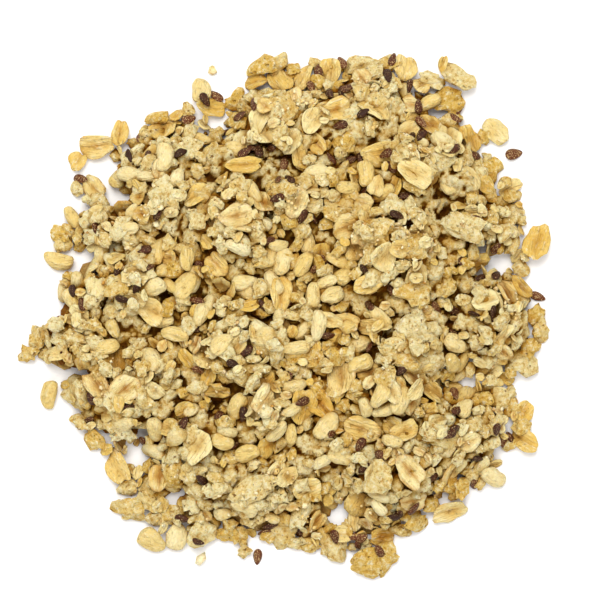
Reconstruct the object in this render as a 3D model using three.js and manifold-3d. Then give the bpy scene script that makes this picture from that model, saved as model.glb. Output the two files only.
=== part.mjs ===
// A heap of loose granola, as it lies on a table: clusters of rolled oats baked together, single oat
// flakes, crisp puffs and linseeds, poured out into one low ragged mound. It is one solid: a bumpy core,
// with the small clusters of the rim and the pieces that show fused on at their true size.
// Millimetres, +Z up. The origin is on the table, under the middle of the heap, and +Y is its far side.

import * as THREE from "three";
import { mergeVertices } from "three/addons/utils/BufferGeometryUtils.js";
import Module from "manifold-3d";

// ---------------------------------------------------------------- driving sizes

// How far the heap reaches from its middle: a value every 15 degrees, anticlockwise from +X.
const RIM_REACH = [
  73, 77, 74, 79, 83, 75, 73, 66, 66, 72, 68, 68,
  75, 75, 66, 67, 76, 65, 66, 76, 71, 74, 78, 70,
];
const MOUND = { crest: 17, fullness: 2.4 };
const CORE = { rings: 11, setback: 6, edge: 3, roughness: 1.3 };

// The large clusters that lie on the mound: middle, radius, and how far their top stands above it.
const CLUSTERS = [
  { x: -14, y: 27, radius: 14, rise: 8 },
  { x: 2, y: 33, radius: 10, rise: 6 },
  { x: -4, y: 54, radius: 10.5, rise: 8 },
  { x: 23, y: 60, radius: 11, rise: 7 },
  { x: 37, y: 42, radius: 9.5, rise: 8 },
  { x: 30, y: 20, radius: 15, rise: 9 },
  { x: 53, y: 25, radius: 9, rise: 7 },
  { x: 60, y: -2, radius: 12, rise: 8 },
  { x: 36, y: -9, radius: 11, rise: 7 },
  { x: 29, y: -21, radius: 11, rise: 7 },
  { x: 45, y: -33, radius: 10, rise: 7 },
  { x: 31, y: -45, radius: 14, rise: 8 },
  { x: -11, y: -9, radius: 11, rise: 5 },
  { x: -9, y: -52, radius: 11, rise: 7 },
  { x: -5, y: -27, radius: 9.5, rise: 6 },
  { x: -30, y: -37, radius: 10, rise: 7 },
  { x: -45, y: -29, radius: 9.5, rise: 7 },
  { x: -41, y: -19, radius: 8.5, rise: 6 },
  { x: -43, y: 7, radius: 9.5, rise: 7 },
  { x: -32, y: 32, radius: 9, rise: 6 },
  { x: -54, y: 24, radius: 8.5, rise: 6 },
  { x: -35, y: 45, radius: 8.5, rise: 6 },
];

// The small clusters that make the rim, standing on the table, and the middling ones just inside them.
const RIM = { count: 48, radius: [4, 7.2], squeeze: [0.7, 1.15], height: [3.5, 8], sides: 6, stray: 1 };
const KNOBS = { pitches: [2.4, 3.7], depth: 0.1 };
const SHOULDER = { count: 32, inset: 16, radius: [7.5, 9.5], rise: [3, 6], stray: 1.5 };

// Places near the rim where the table shows between the clusters: middle and radius.
const BARE_PATCHES = [
  { x: 61, y: 14, radius: 2.6 },
  { x: 51, y: -19, radius: 2.6 },
  { x: 16, y: -56, radius: 3 },
  { x: -32, y: -51, radius: 2.2 },
  { x: -42, y: -40, radius: 3 },
  { x: -58, y: 16, radius: 2.2 },
  { x: -19, y: 54, radius: 2.4 },
];
const BANK_SLOPE = 1.3;

// Single pieces: length, width and thickness from the smallest to the largest, and how many show.
const OAT_FLAKE = { length: [8.5, 12], width: [6.5, 9], thickness: [1.4, 2], count: 66 };
const CRISP_PUFF = { length: [7, 9.5], width: [4.2, 5.2], thickness: [3.8, 4.6], count: 54 };
const LINSEED = { length: [4.4, 5], width: [2.4, 2.9], thickness: [1.5, 1.8], count: 32 };
const FLAKE_EDGE = { sides: 8, ragged: [0.88, 1.06] };

// How a piece lies: its middle above the core by this share of its thickness, a little off the facet
// below it, and off its even place by this much.
const LYING = { above: 0.3, lean: 0.3, stray: 1.5 };

const SEED = 9;
const TALLEST = 60;
const GOLDEN_ANGLE = Math.PI * (3 - Math.sqrt(5));

// ---------------------------------------------------------------- random draws

// Mulberry32: a small seeded generator, so that the heap is the same each time.
function seededRandom(seed) {
  let state = seed >>> 0;
  return () => {
    state = (state + 0x6d2b79f5) >>> 0;
    let t = state;
    t = Math.imul(t ^ (t >>> 15), t | 1);
    t ^= t + Math.imul(t ^ (t >>> 7), t | 61);
    return ((t ^ (t >>> 14)) >>> 0) / 4294967296;
  };
}

const random = seededRandom(SEED);
const between = ([low, high]) => low + (high - low) * random();
const eitherSide = (size) => between([-size, size]);

// ---------------------------------------------------------------- the heap's form

// The reach of the rim at any angle, worked out between one value of RIM_REACH and the next.
function reachAt(angle) {
  const turns = angle / (2 * Math.PI);
  const place = (turns - Math.floor(turns)) * RIM_REACH.length;
  const before = Math.floor(place) % RIM_REACH.length;
  const after = (before + 1) % RIM_REACH.length;
  return THREE.MathUtils.lerp(RIM_REACH[before], RIM_REACH[after], place - Math.floor(place));
}

// The mound's height: highest in the middle, falling faster and faster to nothing at the rim.
function moundHeight(x, y) {
  const share = Math.hypot(x, y) / reachAt(Math.atan2(y, x));
  return share < 1 ? MOUND.crest * (1 - share ** MOUND.fullness) : 0;
}

// A lump swells out of the mound: { x, y, radius, squeeze, turn, rise }, flat on top and steep at its
// side. Squeeze is its width as a share of its length.
function lumpHeight(lump, x, y) {
  const dx = x - lump.x;
  const dy = y - lump.y;
  const along = (dx * Math.cos(lump.turn) + dy * Math.sin(lump.turn)) / lump.radius;
  const across = (dy * Math.cos(lump.turn) - dx * Math.sin(lump.turn)) / (lump.radius * lump.squeeze);
  const share = Math.hypot(along, across);
  return share < 1 ? lump.rise * (1 - share ** 3) : 0;
}

const bigLumps = CLUSTERS.map((cluster) => ({
  ...cluster,
  squeeze: between([0.82, 0.98]),
  turn: random() * Math.PI,
}));

const shoulderLumps = Array.from({ length: SHOULDER.count }, (_, i) => {
  const angle = (i / SHOULDER.count) * 2 * Math.PI;
  const distance = reachAt(angle) - SHOULDER.inset + eitherSide(SHOULDER.stray);
  return {
    x: distance * Math.cos(angle),
    y: distance * Math.sin(angle),
    radius: between(SHOULDER.radius),
    squeeze: between([0.8, 1]),
    turn: random() * Math.PI,
    rise: between(SHOULDER.rise),
  };
});

const lumps = [...bigLumps, ...shoulderLumps];

// The height of the core: the mound with its lumps, which slopes down to the table round a bare patch.
function heapHeight(x, y) {
  const swell = lumps.reduce((rise, lump) => Math.max(rise, lumpHeight(lump, x, y)), 0);
  const banks = BARE_PATCHES.map(
    (patch) => CORE.edge + (Math.hypot(x - patch.x, y - patch.y) - patch.radius) * BANK_SLOPE,
  );
  return Math.max(Math.min(moundHeight(x, y) + swell, ...banks), CORE.edge);
}

// ---------------------------------------------------------------- shapes

// The core: hexagonal rings of points, ring k having 6 k of them, that follow the rim's shape and the
// heap's height, each a little high or low, closed by a low wall round the outside and a flat base.
function coreGeometry() {
  const { rings, setback, edge, roughness } = CORE;
  const positions = [0, 0, heapHeight(0, 0)];
  const firstOf = (ring) => 1 + 3 * ring * (ring - 1);
  const pointOf = (ring, place) => (ring === 0 ? 0 : firstOf(ring) + (place % (6 * ring)));
  for (let ring = 1; ring <= rings; ring += 1) {
    for (let place = 0; place < 6 * ring; place += 1) {
      const angle = (place / (6 * ring)) * 2 * Math.PI;
      const distance = (ring / rings) * (reachAt(angle) - setback);
      const x = distance * Math.cos(angle);
      const y = distance * Math.sin(angle);
      positions.push(x, y, Math.max(heapHeight(x, y) + eitherSide(roughness), edge));
    }
  }
  const faces = [];
  for (let ring = 1; ring <= rings; ring += 1) {
    for (let side = 0; side < 6; side += 1) {
      for (let step = 0; step < ring; step += 1) {
        const outer = pointOf(ring, side * ring + step);
        const outerNext = pointOf(ring, side * ring + step + 1);
        const inner = pointOf(ring - 1, side * (ring - 1) + step);
        faces.push(outer, outerNext, inner);
        if (step > 0) faces.push(inner, pointOf(ring - 1, side * (ring - 1) + step - 1), outer);
      }
    }
  }
  const around = 6 * rings;
  const top = firstOf(rings);
  const base = top + around;
  const middle = base + around;
  for (let place = 0; place < around; place += 1) {
    positions.push(positions[3 * (top + place)], positions[3 * (top + place) + 1], 0);
  }
  positions.push(0, 0, 0);
  for (let place = 0; place < around; place += 1) {
    const next = (place + 1) % around;
    faces.push(top + place, base + place, base + next);
    faces.push(top + place, base + next, top + next);
    faces.push(middle, base + next, base + place);
  }
  const geometry = new THREE.BufferGeometry();
  geometry.setAttribute("position", new THREE.Float32BufferAttribute(positions, 3));
  geometry.setIndex(faces);
  return geometry;
}

// Moves each vertex of a geometry by a rule that is given its position.
function reshape(geometry, move) {
  const position = geometry.getAttribute("position");
  const point = new THREE.Vector3();
  for (let i = 0; i < position.count; i += 1) {
    point.fromBufferAttribute(position, i);
    move(point);
    position.setXYZ(i, point.x, point.y, point.z);
  }
  return geometry;
}

// A small cluster of the rim: half a ball on the table with a knobbly surface, whose outer side about
// reaches the rim. Its other half is below the table and is cut off with all else that is.
function rimClusterGeometry(angle) {
  const radius = between(RIM.radius);
  const knobs = KNOBS.pitches.map((pitch) => ({
    direction: new THREE.Vector3(eitherSide(1), eitherSide(1), eitherSide(1)).normalize(),
    pitch,
    phase: random() * 2 * Math.PI,
  }));
  const ball = new THREE.SphereGeometry(1, RIM.sides, 4).rotateX(Math.PI / 2);
  reshape(ball, (point) => {
    const swell = knobs.reduce(
      (sum, knob) => sum + KNOBS.depth * Math.sin(knob.pitch * point.dot(knob.direction) + knob.phase),
      1 - KNOBS.depth,
    );
    point.multiplyScalar(Math.min(swell, 1));
  });
  ball.scale(radius, radius * between(RIM.squeeze), between(RIM.height)).rotateZ(eitherSide(0.6));
  ball.computeBoundingBox();
  const outward = reachAt(angle) + eitherSide(RIM.stray) - ball.boundingBox.max.x;
  return ball.translate(outward, eitherSide(RIM.stray), 0).rotateZ(angle);
}

// An oat flake: a thin disc with a ragged edge, dented in the middle of both faces.
function flakeGeometry(length, width, thickness) {
  const { sides } = FLAKE_EDGE;
  const ragged = Array.from({ length: sides }, () => between(FLAKE_EDGE.ragged));
  const disc = new THREE.SphereGeometry(1, sides, 3).rotateX(Math.PI / 2);
  reshape(disc, (point) => {
    const radius = Math.hypot(point.x, point.y);
    if (radius < 0.01) {
      point.z *= 0.6;
      return;
    }
    const side = Math.round((Math.atan2(point.y, point.x) / (2 * Math.PI) + 1) * sides) % sides;
    point.set((point.x * ragged[side]) / radius, (point.y * ragged[side]) / radius, Math.sign(point.z));
  });
  return disc.scale(length / 2, width / 2, thickness / 2);
}

// A crisp puff: a long ball that bends a little to one side.
function puffGeometry(length, width, thickness) {
  const bend = between([0, 0.35]);
  const ball = new THREE.SphereGeometry(1, 6, 4).rotateZ(Math.PI / 2);
  reshape(ball, (point) => {
    point.y += bend * (1 - point.x * point.x);
  });
  return ball.scale(length / 2, width / 2, thickness / 2);
}

// A linseed: a flat drop with a point at one end.
function linseedGeometry(length, width, thickness) {
  const drop = new THREE.SphereGeometry(1, 6, 3).rotateZ(Math.PI / 2);
  reshape(drop, (point) => {
    const taper = point.x > 0 ? 0.72 : 1;
    point.y *= taper;
    point.z *= taper;
  });
  return drop.scale(length / 2, width / 2, thickness / 2);
}

// ---------------------------------------------------------------- placing

const core = new THREE.Mesh(coreGeometry());

// Lays a piece on the core where a straight line down at x, y meets it: turned at random, tilted with the
// facet below it and a little off that, with its middle this much above the core.
function layOnCore(geometry, x, y, above) {
  const down = new THREE.Raycaster(new THREE.Vector3(x, y, TALLEST), new THREE.Vector3(0, 0, -1));
  const { point, face } = down.intersectObject(core)[0];
  const off = new THREE.Vector3(eitherSide(LYING.lean), eitherSide(LYING.lean), 0);
  const lean = off.add(face.normal).normalize();
  const tilt = new THREE.Quaternion().setFromUnitVectors(new THREE.Vector3(0, 0, 1), lean);
  return geometry
    .rotateZ(random() * 2 * Math.PI)
    .applyQuaternion(tilt)
    .translate(x, y, point.z + above);
}

// Places on a sunflower spiral that is stretched to the rim, so that they spread evenly over the heap.
// Places too close to a bare patch are left out.
function spreadOverHeap(count, firstTurn, inset) {
  const places = Array.from({ length: count }, (_, i) => {
    const angle = firstTurn + i * GOLDEN_ANGLE;
    const distance = Math.sqrt((i + 0.5) / count) * (reachAt(angle) - inset);
    const [strayX, strayY] = [eitherSide(LYING.stray), eitherSide(LYING.stray)];
    return [distance * Math.cos(angle) + strayX, distance * Math.sin(angle) + strayY];
  });
  return places.filter(([x, y]) =>
    BARE_PATCHES.every((patch) => Math.hypot(x - patch.x, y - patch.y) > patch.radius + inset),
  );
}

function scatter(kind, shape, firstTurn) {
  return spreadOverHeap(kind.count, firstTurn, CORE.setback + 2).map(([x, y]) => {
    const thickness = between(kind.thickness);
    const piece = shape(between(kind.length), between(kind.width), thickness);
    return layOnCore(piece, x, y, thickness * LYING.above);
  });
}

// ---------------------------------------------------------------- joining

const wasm = await Module();
wasm.setup();

// A geometry as a solid: only its positions are kept, and vertices that coincide become one.
function solidOf(geometry) {
  const bare = new THREE.BufferGeometry();
  bare.setAttribute("position", geometry.getAttribute("position"));
  bare.setIndex(geometry.index);
  const merged = mergeVertices(bare, 1e-4);
  const vertProperties = new Float32Array(merged.getAttribute("position").array);
  const triVerts = new Uint32Array(withoutSlivers(merged.index.array));
  return new wasm.Manifold(new wasm.Mesh({ numProp: 3, vertProperties, triVerts }));
}

// Leaves out the triangles that lost a corner when vertices were merged, as at a ball's poles.
function withoutSlivers(index) {
  const kept = [];
  for (let i = 0; i < index.length; i += 3) {
    const [a, b, c] = index.slice(i, i + 3);
    if (a !== b && b !== c && c !== a) kept.push(a, b, c);
  }
  return kept;
}

function join(geometries) {
  return geometries.map(solidOf).reduce((whole, piece) => whole.add(piece));
}

// The largest body alone: it drops loose scraps, and fills any hollow that joining has sealed.
function largestBody(solid) {
  return solid.decompose().reduce((best, body) => (body.volume() > best.volume() ? body : best));
}

function geometryOf(solid) {
  const { vertProperties, triVerts } = solid.getMesh();
  const geometry = new THREE.BufferGeometry();
  geometry.setAttribute("position", new THREE.BufferAttribute(vertProperties, 3));
  geometry.setIndex(new THREE.BufferAttribute(triVerts, 1));
  geometry.computeVertexNormals();
  return geometry;
}

// Moves a geometry along the table until the middle of its box is over the origin.
function centred(geometry) {
  geometry.computeBoundingBox();
  const middle = geometry.boundingBox.getCenter(new THREE.Vector3());
  return geometry.translate(-middle.x, -middle.y, 0);
}

function makeHeap() {
  const bare = BARE_PATCHES.map(({ x, y, radius }) =>
    new THREE.CylinderGeometry(radius, radius, 3 * TALLEST, 8).rotateX(Math.PI / 2).translate(x, y, 0),
  );
  const rim = Array.from({ length: RIM.count }, (_, i) => rimClusterGeometry((i / RIM.count) * 2 * Math.PI));
  const pieces = [
    ...scatter(OAT_FLAKE, flakeGeometry, 0),
    ...scatter(CRISP_PUFF, puffGeometry, 2),
    ...scatter(LINSEED, linseedGeometry, 4),
  ];
  const openCore = solidOf(core.geometry).subtract(join(bare));
  const aboveTable = new THREE.BoxGeometry(400, 400, TALLEST).translate(0, 0, TALLEST / 2);
  const whole = openCore.add(join([...rim, ...pieces])).intersect(solidOf(aboveTable));
  return centred(geometryOf(largestBody(whole)));
}

// ---------------------------------------------------------------- the object

const toastedOat = new THREE.MeshStandardMaterial({ color: 0xd9b878, roughness: 0.75, metalness: 0 });

const granola = new THREE.Group();
const heap = new THREE.Mesh(makeHeap(), toastedOat);
heap.name = "granola_heap";
granola.add(heap);

export default granola;
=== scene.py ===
"""The looks of a heap of loose granola, seen straight from above on a white table.

The heap is made as it is poured. A baked core lies under everything: its crust comes up to the surface
in the clusters and lies deep between them. Oat lumps, rolled oat flakes, crisp puffs and linseeds settle
on it one after another until the heap has the form that the frame gives, and crumbs dust the top.
Lengths are in millimetres until a mesh is made, and +Y is the top of the picture.
"""

import logging
import math
from dataclasses import dataclass, field
from enum import Enum

import bpy
import numpy as np
from mathutils.geometry import delaunay_2d_cdt
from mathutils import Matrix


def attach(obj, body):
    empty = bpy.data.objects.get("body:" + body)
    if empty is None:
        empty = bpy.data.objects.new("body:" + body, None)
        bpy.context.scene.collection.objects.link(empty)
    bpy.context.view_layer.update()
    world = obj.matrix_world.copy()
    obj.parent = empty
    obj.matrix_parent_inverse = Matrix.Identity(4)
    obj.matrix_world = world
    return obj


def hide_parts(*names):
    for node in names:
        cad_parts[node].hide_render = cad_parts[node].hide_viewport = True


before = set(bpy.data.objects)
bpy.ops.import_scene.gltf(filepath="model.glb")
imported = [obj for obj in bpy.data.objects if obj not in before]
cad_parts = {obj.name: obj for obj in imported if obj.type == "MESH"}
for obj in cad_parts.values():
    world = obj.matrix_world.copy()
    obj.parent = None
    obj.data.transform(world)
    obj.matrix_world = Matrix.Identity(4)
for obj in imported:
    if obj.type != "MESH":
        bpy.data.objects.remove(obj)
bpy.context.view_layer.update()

HEAP_NODE = "granola_heap"
BODY = "root"
METRES = 0.001
SEED = 4107
FULL_TURN = 2 * math.pi
LOWEST = 0.02
GRAIN_SHIFT = 400
MIX_UNDER, MIX_OVER, MIX_RESULT = 6, 7, 2

Array = np.ndarray
Colour = tuple[float, float, float]
Place = tuple[float, float, float]
Range = tuple[float, float]

RNG = np.random.default_rng(SEED)
log = logging.getLogger("granola")


# ---------------------------------------------------------------- shader maths


class Signal:
    """A socket of a node tree that adds, subtracts and multiplies like a number."""

    def __init__(self, wiring: "Wiring", socket: bpy.types.NodeSocket) -> None:
        """Wraps one output socket of a tree."""
        self.wiring = wiring
        self.socket = socket

    def _math(self, operation: str, first: "Signal | float", second: "Signal | float") -> "Signal":
        """Adds a Math node on two values or links."""
        return self.wiring.node("ShaderNodeMath", {"operation": operation}, {0: first, 1: second})

    def __add__(self, other: "Signal | float") -> "Signal":
        """The sum of two signals."""
        return self._math("ADD", self, other)

    __radd__ = __add__

    def __mul__(self, other: "Signal | float") -> "Signal":
        """The product of two signals."""
        return self._math("MULTIPLY", self, other)

    __rmul__ = __mul__

    def __sub__(self, other: "Signal | float") -> "Signal":
        """This signal less another."""
        return self._math("SUBTRACT", self, other)

    def __rsub__(self, other: "Signal | float") -> "Signal":
        """Another signal less this one."""
        return self._math("SUBTRACT", other, self)

    def between(self, low: float, high: float) -> "Signal":
        """The share of the way from low to high, which may be the smaller, eased at both ends."""
        inputs = {"Value": self, "From Min": low, "From Max": high}
        return self.wiring.node("ShaderNodeMapRange", {"interpolation_type": "SMOOTHSTEP"}, inputs, "Result")


class Wiring:
    """The node tree of one material."""

    def __init__(self, name: str) -> None:
        """Starts a material with a Principled shader alone.

        Args:
            name: The material's name.
        """
        self.material = bpy.data.materials.new(name)
        self.material.use_nodes = True
        self.tree = self.material.node_tree

    def node(self, kind: str, settings: dict, inputs: dict, output: int | str = 0) -> Signal:
        """Adds a node of any type.

        Args:
            kind: The node's type.
            settings: Its properties, set first.
            inputs: A value, a tuple or a Signal for each named or numbered socket.
            output: The socket that is read.

        Returns:
            That output.
        """
        made = self.tree.nodes.new(kind)
        for key, value in settings.items():
            setattr(made, key, value)
        for key, value in inputs.items():
            self.join(value, made.inputs[key])
        return Signal(self, made.outputs[output])

    def join(self, value: object, socket: bpy.types.NodeSocket) -> None:
        """Links a Signal to an input socket, or sets the socket to a plain value.

        Args:
            value: The Signal or value.
            socket: The input that takes it.
        """
        if isinstance(value, Signal):
            self.tree.links.new(value.socket, socket)
        elif socket.type == "RGBA":
            socket.default_value = (*value, 1.0)
        else:
            socket.default_value = value

    def finish(self, **parts: object) -> bpy.types.Material:
        """Feeds the shader's sockets.

        Args:
            parts: A value or Signal for each socket, named with underscores for spaces.

        Returns:
            The finished material.
        """
        for name, value in parts.items():
            self.join(value, self.tree.nodes["Principled BSDF"].inputs[name.replace("_", " ")])
        return self.material

    def attribute(self, name: str, output: str = "Fac") -> Signal:
        """The value of one of the mesh's own attributes."""
        return self.node("ShaderNodeAttribute", {"attribute_name": name}, {}, output)

    def vector(self, operation: str, *parts: "Signal | Place") -> Signal:
        """Adds a Vector Math node."""
        return self.node("ShaderNodeVectorMath", {"operation": operation}, dict(enumerate(parts)))

    def warped(self, place: Signal, scale: float, reach: float) -> Signal:
        """A place that soft noise has pushed about.

        Args:
            place: The place, in millimetres.
            scale: Blotches of the noise in a millimetre.
            reach: How far it pushes at most, in millimetres.

        Returns:
            The place plus the noise about its mean, times twice the reach.
        """
        noise = self.node("ShaderNodeTexNoise", {}, {"Vector": place, "Scale": scale, "Detail": 1.0}, "Color")
        push = self.vector("SUBTRACT", noise, (0.5, 0.5, 0.5))
        return self.vector("MULTIPLY_ADD", push, (2 * reach,) * 3, place)

    def noise(self, place: Signal, scale: float, detail: float = 2.0, roughness: float = 0.5) -> Signal:
        """Soft noise, 0.5 on average, with so many blotches in a millimetre and so many finer layers."""
        inputs = {"Vector": place, "Scale": scale, "Detail": detail, "Roughness": roughness}
        return self.node("ShaderNodeTexNoise", {}, inputs)

    def cells(self, place: Signal, scale: float) -> Signal:
        """The distance to the nearest of many scattered points, so many in a millimetre."""
        return self.node("ShaderNodeTexVoronoi", {"feature": "F1"}, {"Vector": place, "Scale": scale})

    def blend(self, share: Signal, under: object, over: object, how: str = "MIX") -> Signal:
        """Lays a share of one colour over another."""
        inputs = {"Factor": share, MIX_UNDER: under, MIX_OVER: over}
        return self.node("ShaderNodeMix", {"data_type": "RGBA", "blend_type": how}, inputs, MIX_RESULT)

    def bump(self, relief: Signal) -> Signal:
        """The normal of a relief in millimetres."""
        return self.node("ShaderNodeBump", {}, {"Height": relief, "Distance": METRES, "Strength": 1.0})


# ---------------------------------------------------------------- finishes


def srgb(*parts: int) -> Colour:
    """The light of a screen's red, green and blue, from 0 to 255, by the screen standard's power law."""
    shares = [part / 255 for part in parts]
    return tuple(share / 12.92 if share <= 0.04045 else ((share + 0.055) / 1.055) ** 2.4 for share in shares)


@dataclass(frozen=True)
class BakedFinish:
    """A baked oat surface: pale and golden blotches, brown toasting that on the core is partly painted
    shade, floured tops with a painted highlight, and painted shade in creases, pits and deep down.
    """

    name: str
    pale: Colour
    golden: Colour
    toasted: Colour
    # The floured colour is flour dust with a painted highlight on the tops; the four after it are painted
    # shade: in creases, in pits, where the surface lies deep and where it lies deepest.
    floury_highlight: Colour = srgb(253, 246, 210)
    crease_shade: Colour = srgb(200, 162, 62)
    pit_shade: Colour = srgb(146, 100, 36)
    painted_shade: Colour = srgb(214, 179, 86)
    deepest_shade: Colour = srgb(174, 140, 90)
    shade_strength: float = 1.0
    roughness: float = 0.72
    blotch: float = 0.3
    stretch: Place = (1.0, 1.0, 1.0)
    grain: float = 0.9
    grain_depth: float = 0.3
    crag: float = 0.7
    crag_depth: float = 1.6
    streak: float = 1.3
    streak_depth: float = 0.0
    crease: float = 0.8
    lines: float = 0.0
    pit: float = 0.85
    pits: float = 0.85
    flour_and_highlight: float = 0.75
    toasting: float = 0.8
    sheen: float = 0.08

    def make(self) -> bpy.types.Material:
        """Builds the material.

        Returns:
            The material: two golds by a tone for each piece and by blotches, toasting where the mesh
            says so (on the core partly painted shade), a relief of crags, or of streaks along the piece,
            with painted brown shade in its hollows and a floured, painted highlight on its tops, granules,
            pits with painted brown shade, and darker, browner painted shade where it lies deep.
        """
        w = Wiring(self.name)
        place = w.attribute("grain", "Vector")
        blotches = w.noise(place, self.blotch, 3.0, 0.6)
        streaks = w.noise(w.vector("MULTIPLY", place, self.stretch), self.streak, 3.0, 0.6)
        crags = w.noise(place, self.crag, 5.0, 0.75) * (1 - self.lines) + streaks * self.lines
        granules = w.cells(w.warped(place, 1.1, 0.9), self.grain)
        gold = (w.attribute("tone") * 0.9 + blotches + streaks * 0.6 - 0.78).between(0.0, 1.0)
        colour = w.blend(gold, self.pale, self.golden)
        # The mesh's toast share: real toasting on the pieces; on the core it also holds painted shade in the
        # hollows and between the clusters.
        scorch_and_shade = w.attribute("toast_and_shade") * 1.1 + blotches * 0.9 + streaks * 0.6 - 0.76
        colour = w.blend(scorch_and_shade.between(0.2, 1.0) * self.toasting, colour, self.toasted)
        # Flour dust with a painted highlight, on the tops of the crags.
        colour = w.blend(crags.between(0.5, 0.66) * self.flour_and_highlight, colour, self.floury_highlight)
        # Painted shade: brown in the lows of the crags and between the granules.
        hollow_shade = (crags - granules * self.grain_depth * 0.3 + 0.05).between(0.5, 0.34) * self.crease
        colour = w.blend(hollow_shade, colour, self.crease_shade, "MULTIPLY")
        # Pits: dents in the relief, darkened by painted shade.
        pits = w.noise(w.warped(place, 0.5, 0.8), self.pit, 3.0, 0.6).between(0.37, 0.29)
        colour = w.blend(pits * self.pits, colour, self.pit_shade, "MULTIPLY")
        # Painted shade where the surface lies deep among the pieces: browner first, darker deepest.
        depth = w.attribute("painted_shade")
        colour = w.blend(depth.between(0.0, 0.85) * self.shade_strength, colour, self.painted_shade, "MULTIPLY")
        colour = w.blend(depth.between(0.45, 1.0) * self.shade_strength, colour, self.deepest_shade, "MULTIPLY")
        roughness = (crags - 0.5) * 0.3 + self.roughness
        relief = streaks * self.streak_depth - granules * self.grain_depth
        relief = relief + crags * self.crag_depth - pits * self.pits
        return w.finish(
            Base_Color=colour,
            Roughness=roughness,
            Normal=w.bump(relief),
            Specular_IOR_Level=self.sheen,
            Subsurface_Weight=0.1,
            Subsurface_Scale=0.001,
            Subsurface_Radius=(1.0, 0.6, 0.25),
        )


@dataclass(frozen=True)
class SeedFinish:
    """A linseed's coat: dark red-brown and glossy, finely dented, with ground oat dust on some."""

    name: str
    dark: Colour
    red: Colour
    dusted: Colour
    roughness: float = 0.36
    sheen: float = 0.18

    def make(self) -> bpy.types.Material:
        """Builds the material.

        Returns:
            The material: dark to red by a tone for each seed, with pale dust in fine specks.
        """
        w = Wiring(self.name)
        place = w.attribute("grain", "Vector")
        tone = w.attribute("tone")
        colour = w.blend((tone + w.noise(place, 0.8) - 0.6).between(0.0, 1.0), self.dark, self.red)
        specks = w.noise(place, 3.2, 3.0, 0.7)
        dust = (specks + tone * 0.08).between(0.63, 0.69) * 0.8
        colour = w.blend(dust, colour, self.dusted)
        roughness = dust * 0.4 + self.roughness
        normal = w.bump(w.cells(place, 2.6) * 0.1 + specks * 0.15)
        return w.finish(Base_Color=colour, Roughness=roughness, Normal=normal, Specular_IOR_Level=self.sheen)


@dataclass(frozen=True)
class TableFinish:
    """A matt white tabletop, very faintly uneven."""

    name: str
    white: Colour
    shade: Colour

    def make(self) -> bpy.types.Material:
        """Builds the material.

        Returns:
            The material: white, with a tenth of the shade in soft blotches.
        """
        w = Wiring(self.name)
        place = w.node("ShaderNodeTexCoord", {}, {}, "Object")
        colour = w.blend(w.noise(place, 6.0).between(0.2, 0.8) * 0.1, self.white, self.shade)
        return w.finish(Base_Color=colour, Roughness=0.9, Specular_IOR_Level=0.0)


class Slot(Enum):
    """The record's material slots."""

    GRANOLA = "granola"
    OAT_FLAKE = "oat_flake"
    CRISP_PUFF = "crisp_puff"
    LINSEED = "linseed"
    OAT_CRUMB = "oat_crumb"


CRUST_FINISH = BakedFinish(
    "baked_crust", srgb(243, 229, 174), srgb(229, 192, 102), srgb(192, 148, 60),
    deepest_shade=srgb(146, 120, 80), toasting=0.5,
)
LUMP_FINISH = BakedFinish(
    "baked_lump", srgb(243, 229, 174), srgb(227, 189, 95), srgb(192, 145, 48), toasting=0.6
)
FLAKE_FINISH = BakedFinish(
    "rolled_oat", srgb(241, 225, 166), srgb(228, 191, 97), srgb(190, 132, 42), blotch=0.25,
    stretch=(0.2, 1.0, 1.0), grain_depth=0.1, crag_depth=1.0, streak_depth=1.2, crease=0.7, lines=0.55,
    pits=0.3, flour_and_highlight=0.6, toasting=0.75, shade_strength=0.6, sheen=0.12,
)
PUFF_FINISH = BakedFinish(
    "crisp_puff", srgb(244, 231, 180), srgb(232, 202, 123), srgb(200, 154, 64), stretch=(0.3, 1.0, 1.0),
    grain_depth=0.15, crag_depth=1.4, streak_depth=0.9, crease=0.6, lines=0.4, pits=0.25, flour_and_highlight=0.5,
    toasting=0.7, roughness=0.62, sheen=0.16,
)
CRUMB_FINISH = BakedFinish(
    "oat_crumb", srgb(244, 230, 186), srgb(228, 194, 115), srgb(188, 134, 54), grain_depth=0.1, crag_depth=0.6
)
LINSEED_FINISH = SeedFinish("linseed_coat", srgb(50, 24, 8), srgb(94, 46, 20), srgb(222, 192, 130))
TABLE_FINISH = TableFinish("white_tabletop", (0.95, 0.95, 0.955), (0.9, 0.9, 0.915))


# ---------------------------------------------------------------- maps of the heap


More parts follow.
